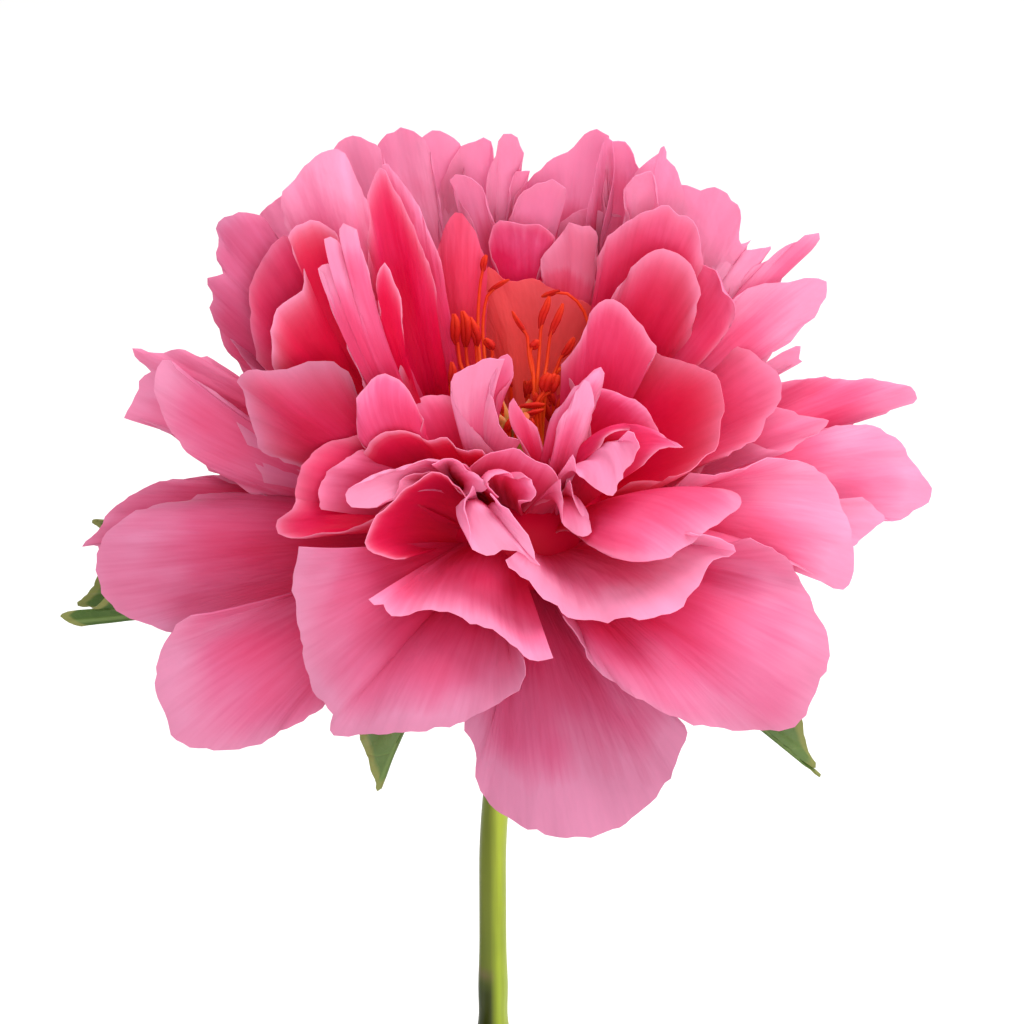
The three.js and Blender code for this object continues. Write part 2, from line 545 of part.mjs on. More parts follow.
function carpelBody() {
  const floor = discHeight + fit;
  const base = [[0, floor], [carpel.baseRadius, floor], [carpel.baseRadius, floor + carpel.baseThick],
    [0, floor + carpel.baseThick]];
  const made = [turned(base, 12)];
  for (let index = 0; index < carpel.count; index += 1) {
    const azimuth = 0.6 + (index / carpel.count) * Math.PI * 2;
    const out = new THREE.Vector3(Math.cos(azimuth), Math.sin(azimuth), 0);
    const at = (share, away) => out.clone().multiplyScalar(away).setZ(floor + carpel.height * share);
    const path = [at(0.02, 1.6), at(0.3, 2), at(0.6, 2.1), at(0.84, 2.4), at(1, 2.2 + carpel.lean)];
    const { radius } = carpel;
    made.push(tube(path, [0.7 * radius, 0.82 * radius, 0.62 * radius, 0.32 * radius, 0.3 * radius], 6));
  }
  return wholeOf(merge(made));
}

function bractGrid(start, middle, tip, half, rows) {
  const knee = kneeFor(start, middle, tip);
  const grid = [];
  for (let row = 0; row <= rows; row += 1) {
    const t = row / rows;
    const point = bezier(start, knee, tip, t);
    const ahead = bezier(start, knee, tip, Math.min(t + 0.05, 1)).sub(bezier(start, knee, tip, t - 0.05));
    const aside = new THREE.Vector3(0, 0, 1).cross(ahead).normalize();
    const lift = ahead.clone().cross(aside).normalize();
    const width = 0.5 + half * Math.sin(Math.PI * (0.12 + 0.88 * t)) ** 0.8;
    grid.push([1, 0, -1].map((side) => point.clone()
      .addScaledVector(aside, side * width)
      .addScaledVector(lift, Math.abs(side) * width * 0.3)));
  }
  return grid;
}

function calyxBody() {
  const made = [turned(receptacleProfile, latheSegments)];
  bracts.forEach(({ middle, tip, half }) => {
    const end = place(tip);
    const bearing = Math.atan2(end.y, end.x);
    const start = new THREE.Vector3(Math.cos(bearing), Math.sin(bearing), 0).multiplyScalar(bractRoot.radius);
    start.setZ(bractRoot.height);
    made.push(bladeFrom(bractGrid(start, place(middle), end, half, 4), blade));
  });
  for (let index = 0; index < sepal.count; index += 1) {
    const bearing = THREE.MathUtils.degToRad(sepal.first + (360 / sepal.count) * index);
    const out = new THREE.Vector3(Math.cos(bearing), Math.sin(bearing), 0);
    const start = out.clone().multiplyScalar(sepal.rootRadius).setZ(sepal.rootHeight);
    const end = start.clone().addScaledVector(out, sepal.length).setZ(sepal.rootHeight - sepal.drop);
    const middle = start.clone().lerp(end, 0.5).add(new THREE.Vector3(0, 0, sepal.cup));
    made.push(bladeFrom(bractGrid(start, middle, end, sepal.half, 3), sepal.thick));
  }
  return wholeOf(merge(made).subtract(keepClear));
}

function stemPath() {
  const top = bloomHeight + receptacleProfile[0][1] - fit;
  const bottom = soil.top - stem.buried + 1;
  const upright = top - stem.upright;
  const bend = [1, 0.67, 0.33].map((share) => top - share * stem.bend);
  const heights = [bottom, soil.top, ...bend, upright, top];
  leaves.forEach(({ height }) => heights.push(height - stem.knotHalf, height, height + stem.knotHalf));
  heights.sort((a, b) => a - b);
  const path = [];
  const radii = [];
  heights.forEach((height) => {
    const lean = THREE.MathUtils.smoothstep(height, top - stem.bend, upright);
    path.push(new THREE.Vector3(bloomAside * lean, 0, height));
    const knot = leaves.some((leaf) => leaf.height === height) ? stem.knot : 0;
    radii.push(THREE.MathUtils.mapLinear(height, bottom, top, stem.footRadius, stem.topRadius) + knot);
  });
  return { path, radii };
}

function stemBody(grow) {
  const { path, radii } = stemPath();
  return tube(path, radii.map((radius) => radius + grow), stem.sides);
}

// One leaflet: a folded blade that droops from its base along the way it points.
function leafletSolid(base, heading, up, length) {
  const grid = [];
  const point = base.clone();
  const aside = up.clone().cross(heading).normalize();
  const pace = length / leaflet.steps;
  const fold = THREE.MathUtils.degToRad(leaflet.fold);
  for (let step = 0; step <= leaflet.steps; step += 1) {
    const t = step / leaflet.steps;
    const dip = THREE.MathUtils.degToRad(leaflet.droop) * t;
    const ahead = heading.clone().applyAxisAngle(aside, dip);
    const lift = ahead.clone().cross(aside).normalize();
    const half = length * leaflet.slender;
    const width = 0.6 + half * Math.sin(Math.PI * (0.1 + 0.9 * t) ** 0.8) ** 0.85;
    grid.push([1, 0, -1].map((side) => point.clone()
      .addScaledVector(aside, side * width * Math.cos(fold))
      .addScaledVector(lift, Math.abs(side) * width * Math.sin(fold))));
    point.addScaledVector(ahead, pace);
  }
  return bladeFrom(grid, leaflet.thick);
}

function leafBody(leaf) {
  const azimuth = THREE.MathUtils.degToRad(leaf.azimuth);
  const rise = THREE.MathUtils.degToRad(leaf.rise);
  const level = new THREE.Vector3(Math.cos(azimuth), Math.sin(azimuth), 0);
  const start = new THREE.Vector3(0, 0, leaf.height);
  const fork = start.clone().addScaledVector(level, leaf.stalk * Math.cos(rise));
  fork.z += leaf.stalk * Math.sin(rise);
  const middle = start.clone().lerp(fork, 0.5);
  middle.z += petiole.arch * leaf.stalk;
  const knee = kneeFor(start, middle, fork);
  const path = [0, 0.3, 0.65, 1].map((t) => bezier(start, knee, fork, t));
  const { radius } = petiole;
  const made = [tube(path, [1.5 * radius, 1.2 * radius, radius, 0.9 * radius], petiole.sides)];
  const up = new THREE.Vector3(0, 0, 1);
  const branches = [[0, leaf.middle], [petiole.spread, leaf.side], [-petiole.spread, leaf.side]];
  branches.forEach(([turn, count]) => {
    const spin = THREE.MathUtils.degToRad(turn);
    const heading = level.clone().applyAxisAngle(up, spin);
    heading.z = turn === 0 ? 0.05 : -0.02;
    heading.normalize();
    const stretch = (turn === 0 ? 1 : petiole.sideShare) * (count === 1 ? petiole.loneShare : 1);
    const twig = fork.clone().addScaledVector(heading, petiole.branch * stretch);
    const ends = [fork.clone().addScaledVector(heading, -1.5), twig.clone().addScaledVector(heading, 2)];
    made.push(tube(ends, [0.8 * radius, 0.6 * radius], petiole.sides));
    const fan = count === 1 ? [0] : [0, leaflet.swing, -leaflet.swing];
    fan.forEach((swing) => {
      const way = heading.clone().applyAxisAngle(up, THREE.MathUtils.degToRad(swing));
      const share = (swing === 0 ? 1 : leaflet.outerShare) * (turn === 0 ? 1 : leaflet.sideShare);
      const base = twig.clone().addScaledVector(way, -1);
      made.push(leafletSolid(base, way, up, leaf.length * share));
    });
  });
  return wholeOf(merge(made).subtract(stemBody(fit)));
}

function wallAt(height) {
  const { mapLinear } = THREE.MathUtils;
  const shoulder = pot.height - pot.collarHeight;
  if (height <= shoulder) {
    return mapLinear(height, 0, shoulder, pot.footRadius, pot.shoulderRadius) - pot.wall;
  }
  return mapLinear(height, shoulder, pot.height, pot.shoulderRadius, pot.lipRadius - 1) - pot.wall;
}

function potBody() {
  const shoulder = pot.height - pot.collarHeight;
  const profile = [
    [0, 0], [pot.footRadius - 2, 0], [pot.footRadius, 2], [pot.shoulderRadius, shoulder],
    [pot.shoulderRadius + pot.collarOut, shoulder + 1], [pot.lipRadius, pot.height - 2],
    [pot.lipRadius - 1.5, pot.height], [wallAt(pot.height), pot.height],
    [wallAt(shoulder), shoulder], [wallAt(pot.floor), pot.floor], [0, pot.floor],
  ];
  let body = turned(profile, pot.segments);
  for (let index = 0; index < pot.drains; index += 1) {
    const azimuth = ((index + 0.5) / pot.drains) * Math.PI * 2;
    const drain = new THREE.CylinderGeometry(pot.drainRadius, pot.drainRadius, pot.floor * 3, 8);
    drain.rotateX(Math.PI / 2);
    drain.translate(pot.drainAt * Math.cos(azimuth), pot.drainAt * Math.sin(azimuth), 0);
    body = body.subtract(solidOf(drain));
  }
  return body;
}

function soilBody() {
  const next = draw(3);
  const edge = wallAt(soil.top) - fit;
  const shoulder = pot.height - pot.collarHeight;
  const profile = [[0, pot.floor + fit], [wallAt(pot.floor + fit) - fit, pot.floor + fit],
    [wallAt(shoulder) - fit, shoulder], [edge, soil.top]];
  for (let ring = soil.rings - 1; ring >= 0; ring -= 1) {
    const share = ring / soil.rings;
    profile.push([edge * share, soil.top + soil.mound * (1 - share * share)]);
  }
  const points = profile.map(([radius, height]) => new THREE.Vector2(radius, height));
  const geometry = new THREE.LatheGeometry(points, pot.segments);
  geometry.rotateX(Math.PI / 2);
  geometry.deleteAttribute('normal');
  geometry.deleteAttribute('uv');
  const merged = mergeVertices(geometry, 1e-4);
  const spots = merged.getAttribute('position');
  for (let index = 0; index < spots.count; index += 1) {
    const radius = Math.hypot(spots.getX(index), spots.getY(index));
    if (spots.getZ(index) > soil.top + 0.5 && radius > 8) {
      spots.setZ(index, spots.getZ(index) + soil.grain * (next() - 0.5) * 2);
    }
  }
  const holeRadius = stem.footRadius + 1.5 * fit;
  const holeLength = stem.buried + 20;
  const hole = new THREE.CylinderGeometry(holeRadius, holeRadius, holeLength, latheSegments);
  hole.rotateX(Math.PI / 2);
  hole.translate(0, 0, soil.top - stem.buried + holeLength / 2);
  return wholeOf(solidOf(merged).subtract(solidOf(hole)));
}

const plant = new THREE.Group();
plant.name = 'potted_peony';
plant.add(meshOf(potBody(), 'pot', colours.pot, 0.85));
plant.add(meshOf(soilBody(), 'soil', colours.soil, 0.95));
plant.add(meshOf(wholeOf(stemBody(0)), 'stem', colours.stem, 0.5));
leaves.forEach((leaf) => plant.add(meshOf(leafBody(leaf), leaf.name, colours.leaf, 0.5)));
plant.add(meshOf(calyxBody().translate(heart), 'calyx', colours.calyx, 0.55));
plant.add(meshOf(bloom.translate(heart), 'petals', colours.petals, 0.6));
plant.add(meshOf(stamenBody().translate(heart), 'stamens', colours.stamens, 0.6));
plant.add(meshOf(carpelBody().translate(heart), 'carpels', colours.carpels, 0.6));

export default plant;
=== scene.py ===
import math

import bpy
import numpy as np
from mathutils import Matrix, Vector, noise


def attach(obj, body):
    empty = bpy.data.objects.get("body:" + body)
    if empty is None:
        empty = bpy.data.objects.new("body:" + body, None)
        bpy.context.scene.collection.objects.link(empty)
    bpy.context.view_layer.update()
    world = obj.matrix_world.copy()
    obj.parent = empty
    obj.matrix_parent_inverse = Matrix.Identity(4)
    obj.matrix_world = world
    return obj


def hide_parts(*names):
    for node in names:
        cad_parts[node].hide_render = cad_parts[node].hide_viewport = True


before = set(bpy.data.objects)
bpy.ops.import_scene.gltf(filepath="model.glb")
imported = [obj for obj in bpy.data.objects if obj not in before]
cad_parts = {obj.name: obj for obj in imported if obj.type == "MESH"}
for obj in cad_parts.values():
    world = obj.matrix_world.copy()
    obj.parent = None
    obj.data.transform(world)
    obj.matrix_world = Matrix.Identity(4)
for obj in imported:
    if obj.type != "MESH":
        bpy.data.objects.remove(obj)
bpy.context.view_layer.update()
mm = 0.001
print("frame:", len(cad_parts), "nodes")

# Sizes below are in mm until a mesh is made. The heart of the bloom is where its stem meets the petals.
heart = np.array([4.2, 0.0, 462.0])
sight = {"tilt": 28.0, "distance": 569.0, "lens": 100}  # how far down the eye looks, from how far, its lens
clearance = 0.3


def linear(code):  # sRGB hex to the linear colour that the shaders take
    parts = [int(code[i:i + 2], 16) / 255 for i in (1, 3, 5)]
    return tuple(c / 12.92 if c <= 0.04045 else ((c + 0.055) / 1.055) ** 2.4 for c in parts) + (1.0,)


def addNode(tree, kind, settings=None, links=None):  # a node given as a link stands for its first output
    node = tree.nodes.new(kind)
    for key, value in (settings or {}).items():
        if key == "stops":
            while len(node.color_ramp.elements) < len(value):
                node.color_ramp.elements.new(0.5)
            for element, (at, code) in zip(node.color_ramp.elements, value):
                element.position = at
                element.color = linear(code) if isinstance(code, str) else (code, code, code, 1)
        elif isinstance(key, int) or key in node.inputs:
            node.inputs[key].default_value = value
        else:
            setattr(node, key, value)
    for key, source in (links or {}).items():
        socket = source.outputs[0] if isinstance(source, bpy.types.Node) else source
        tree.links.new(socket, node.inputs[key])
    return node


def newFinish(name):
    finish = bpy.data.materials.new(name)
    finish.use_nodes = True
    finish.node_tree.nodes.clear()
    return finish, finish.node_tree


def draw(seed):  # the same seeded numbers that the solids were placed with
    state = [seed & 0xffffffff]

    def following():
        state[0] = (state[0] + 0x6d2b79f5) & 0xffffffff
        mixed = ((state[0] ^ (state[0] >> 15)) * (1 | state[0])) & 0xffffffff
        mixed = ((mixed + (mixed ^ (mixed >> 7)) * (61 | mixed)) & 0xffffffff) ^ mixed
        return ((mixed ^ (mixed >> 14)) & 0xffffffff) / 4294967296
    return following


def unit(vectors):
    return vectors / np.maximum(np.linalg.norm(vectors, axis=-1, keepdims=True), 1e-9)


def around(bearing, radius=1.0, height=0.0):  # a point at a bearing round the upright axis
    return np.array([radius * math.cos(bearing), radius * math.sin(bearing), height])


def bearingOf(point):
    return math.atan2(point[1], point[0])


def bezier(start, knee, end, t):
    t = np.asarray(t, float)[..., None]
    return (1 - t) ** 2 * start + 2 * t * (1 - t) * knee + t * t * end


def kneeFor(start, middle, end):  # makes the curve pass through the middle point half way
    return 2 * middle - 0.5 * start - 0.5 * end


def wobble(x, seed, scales=(1.0, 2.3, 4.1)):  # a smooth seeded wave between about -1 and 1
    total = 0
    for order, scale in enumerate(scales):
        total = total + np.sin(x * scale + seed * (1.7 + 2.9 * order)) / (order + 1.4)
    return total / 1.6


def normalsOf(points):
    return unit(np.cross(np.gradient(points, axis=1), np.gradient(points, axis=0)))


def shellOf(points, thick, facts):  # a grid of points as a closed blade, upper face first
    rows, columns = points.shape[:2]
    count = rows * columns
    half = normalsOf(points) * np.broadcast_to(thick, (rows, columns))[..., None] / 2
    corner = (np.arange(rows - 1)[:, None] * columns + np.arange(columns - 1)).ravel()
    upper = np.stack([corner, corner + 1, corner + columns + 1, corner + columns], 1)
    rim = np.concatenate([
        np.arange(columns - 1), np.arange(rows - 1) * columns + columns - 1,
        (rows - 1) * columns + np.arange(columns - 1, 0, -1), np.arange(rows - 1, 0, -1) * columns])
    ahead = np.roll(rim, -1)
    sides = np.stack([ahead, rim, rim + count, ahead + count], 1)
    given = {key: np.tile(np.asarray(value, float).reshape(count, -1), (2, 1))
             for key, value in facts.items()}
    given["under"] = np.repeat([0.0, 1.0], count)[:, None]
    vertices = np.concatenate([(points + half).reshape(-1, 3), (points - half).reshape(-1, 3)])
    return vertices, np.concatenate([upper, upper[:, ::-1] + count, sides]), given


def ringFaces(rings, sides):  # each ring joined to the next, and each end closed to a point, lowest first
    start = np.arange(rings - 1)[:, None] * sides
    corner = np.arange(sides)
    ahead = (corner + 1) % sides
    a, b = (start + corner).ravel(), (start + ahead).ravel()
    top, low, high = (rings - 1) * sides, np.full(sides, rings * sides), np.full(sides, rings * sides + 1)
    return np.concatenate([
        np.stack([a, b, b + sides, a + sides], 1), np.stack([ahead, corner, low, low], 1),
        np.stack([top + corner, top + ahead, high, high], 1)])


def tubeOf(path, radii, sides, ribs=0.0):  # a closed tube with its own radius at each point
    path = np.asarray(path, float)
    tangent = unit(np.gradient(path, axis=0))
    side = np.array([1.0, 0, 0]) if abs(tangent[0, 0]) < 0.8 else np.array([0, 1.0, 0])
    angle = np.arange(sides) / sides * math.tau
    rings = []
    for point, way, radius in zip(path, tangent, radii):
        side = unit(side - way * side.dot(way))
        circle = np.outer(np.cos(angle), side) + np.outer(np.sin(angle), np.cross(way, side))
        rings.append(point + radius * (1 + ribs * np.cos(5 * angle))[:, None] * circle)
    share = np.concatenate([np.repeat(np.linspace(0, 1, len(path)), sides), [0, 1]])
    vertices = np.concatenate(rings + [path[:1], path[-1:]])
    return vertices, ringFaces(len(path), sides), {"along": share[:, None]}


def turnedOf(profile, segments, facts=None):  # a profile of radius and height turned round, lowest first
    profile = np.asarray(profile, float)
    angle = np.arange(segments) / segments * math.tau
    ring = np.stack([np.cos(angle), np.sin(angle)], 1)
    rings = [np.concatenate([ring * radius, np.full((segments, 1), z)], 1) for radius, z in profile[1:-1]]
    vertices = np.concatenate(rings + [[[0, 0, profile[0, 1]], [0, 0, profile[-1, 1]]]])
    given = {key: np.full((len(vertices), 1), float(value)) for key, value in (facts or {}).items()}
    return vertices, ringFaces(len(rings), segments), given


def rounded(profile, radius, steps=5):  # every inner corner of a profile rounded off
    profile = [np.array(p, float) for p in profile]
    made = [profile[0]]
    for before, corner, after in zip(profile, profile[1:], profile[2:]):
        back, ahead = before - corner, after - corner
        reach = min(radius, np.linalg.norm(back) * 0.45, np.linalg.norm(ahead) * 0.45)
        made += list(bezier(corner + unit(back) * reach, corner, corner + unit(ahead) * reach,
                            np.linspace(0, 1, steps)))
    return np.array(made + [profile[-1]])


def discOf(radius, low, thick):  # the profile of a flat disc
    return rounded([(0, low), (radius, low), (radius, low + thick), (0, low + thick)], 0.5)


def newObject(name, vertices, faces):  # from mm, with a repeated corner left out of its face
    mesh = bpy.data.meshes.new(name)
    faces = [list(dict.fromkeys(face)) for face in np.asarray(faces).tolist()]
    mesh.from_pydata((np.asarray(vertices, float) * mm).tolist(), [], faces)
    made = bpy.data.objects.new(name, mesh)
    bpy.context.scene.collection.objects.link(made)
    return made


def makePiece(name, parts, finish, node, move=(0, 0, 0), sharp=50):
    keys = sorted({key for part in parts for key in part[2]})
    vertices, faces, facts, start = [], [], {key: [] for key in keys}, 0
    for points, quads, given in parts:
        vertices.append(points)
        faces.append(quads + start)
        for key in keys:
            facts[key].append(given.get(key, np.zeros((len(points), 3 if key == "place" else 1))))
        start += len(points)
    piece = newObject(name, np.concatenate(vertices) + np.asarray(move, float), np.concatenate(faces))
    mesh = piece.data
    for key in keys:
        kind, field = ("FLOAT_VECTOR", "vector") if key == "place" else ("FLOAT", "value")
        layer = mesh.attributes.new(key, kind, "POINT")
        layer.data.foreach_set(field, np.concatenate(facts[key]).ravel())
    mesh.polygons.foreach_set("use_smooth", [True] * len(mesh.polygons))
    mesh.set_sharp_from_angle(angle=math.radians(sharp))
    mesh.update()
    mesh.materials.append(finish)
    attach(piece, "root")
    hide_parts(node)
    mesh.calc_loop_triangles()
    print(name, len(mesh.loop_triangles), "triangles")
    return piece


def place(spot):  # mm right of the heart, above it and behind it, as the photograph shows, to x, y and z
    right, above, behind = spot
    tilt, distance = math.radians(sight["tilt"]), sight["distance"]
    sine, cosine = math.sin(tilt), math.cos(tilt)
    height = above * (distance + behind * cosine) - behind * distance * sine
    height /= distance * cosine + above * sine
    nearer = height * sine - behind * cosine
    return np.array([right * (distance - nearer) / distance, behind, height])


petalShape = {  # what a petal has where its own row says nothing else
    "claw": 3.2,         # half the width at the root
    "baseThick": 0.6,
    "tipThick": 0.34,
    "rimThick": 0.14,
    "ruffle": 0.3,       # height of the small waves along the margin
    "pleat": 0.16,       # height of the lengthwise folds
    "crease": 0.22,      # height of the fine creases between the veins
    "nick": 0.4,         # depth of the uneven margin
    "curl": 0.0,         # how far the tip turns up, or down below 0
    "flatSides": 0.92,   # how much flatter the sides are than the middle
    "shoulder": 0.7,     # how far up a petal without a drawn margin is widest, and how square its tip is
    "blunt": 2,
    "deep": 0.0,         # share of crimson
    "warm": 0.0,         # share of orange, partly the heart's own coral and partly a painted glow of light shining through
    "light": 0.0,        # paler above 0, redder below: partly the petal's own tint, partly painted light on lit petals and painted shade on shaded ones
    "dusk": 0.0,         # share of painted grey shade, for petals that lie in shade
    "pale": 0.5,         # strength of the pale margin, and how far in it reaches
    "rim": 2.6,
}
meshSteps = {"ribs": 1.55, "rows": 1.6, "lapUnder": 3.5}  # mm apart, and how far a back petal dips at an edge
ringRoots = [(12, -6), (12, -3), (11.5, 0), (10.5, 2.5), (9.6, 4.5)]
ringGroups = ["guardPetals", "crownPetals", "crownPetals", "innerPetals", "innerPetals"]
coreProfile = [(0, -9), (16, -9), (20, -7), (20, 0), (17, 6), (12, 9), (9.8, 8), (0, 8)]
receptacleProfile = [(0, -16), (3, -16), (5.5, -14.5), (11, -12), (16, -9.3), (0, -9.3)]
discHeight = 8.0

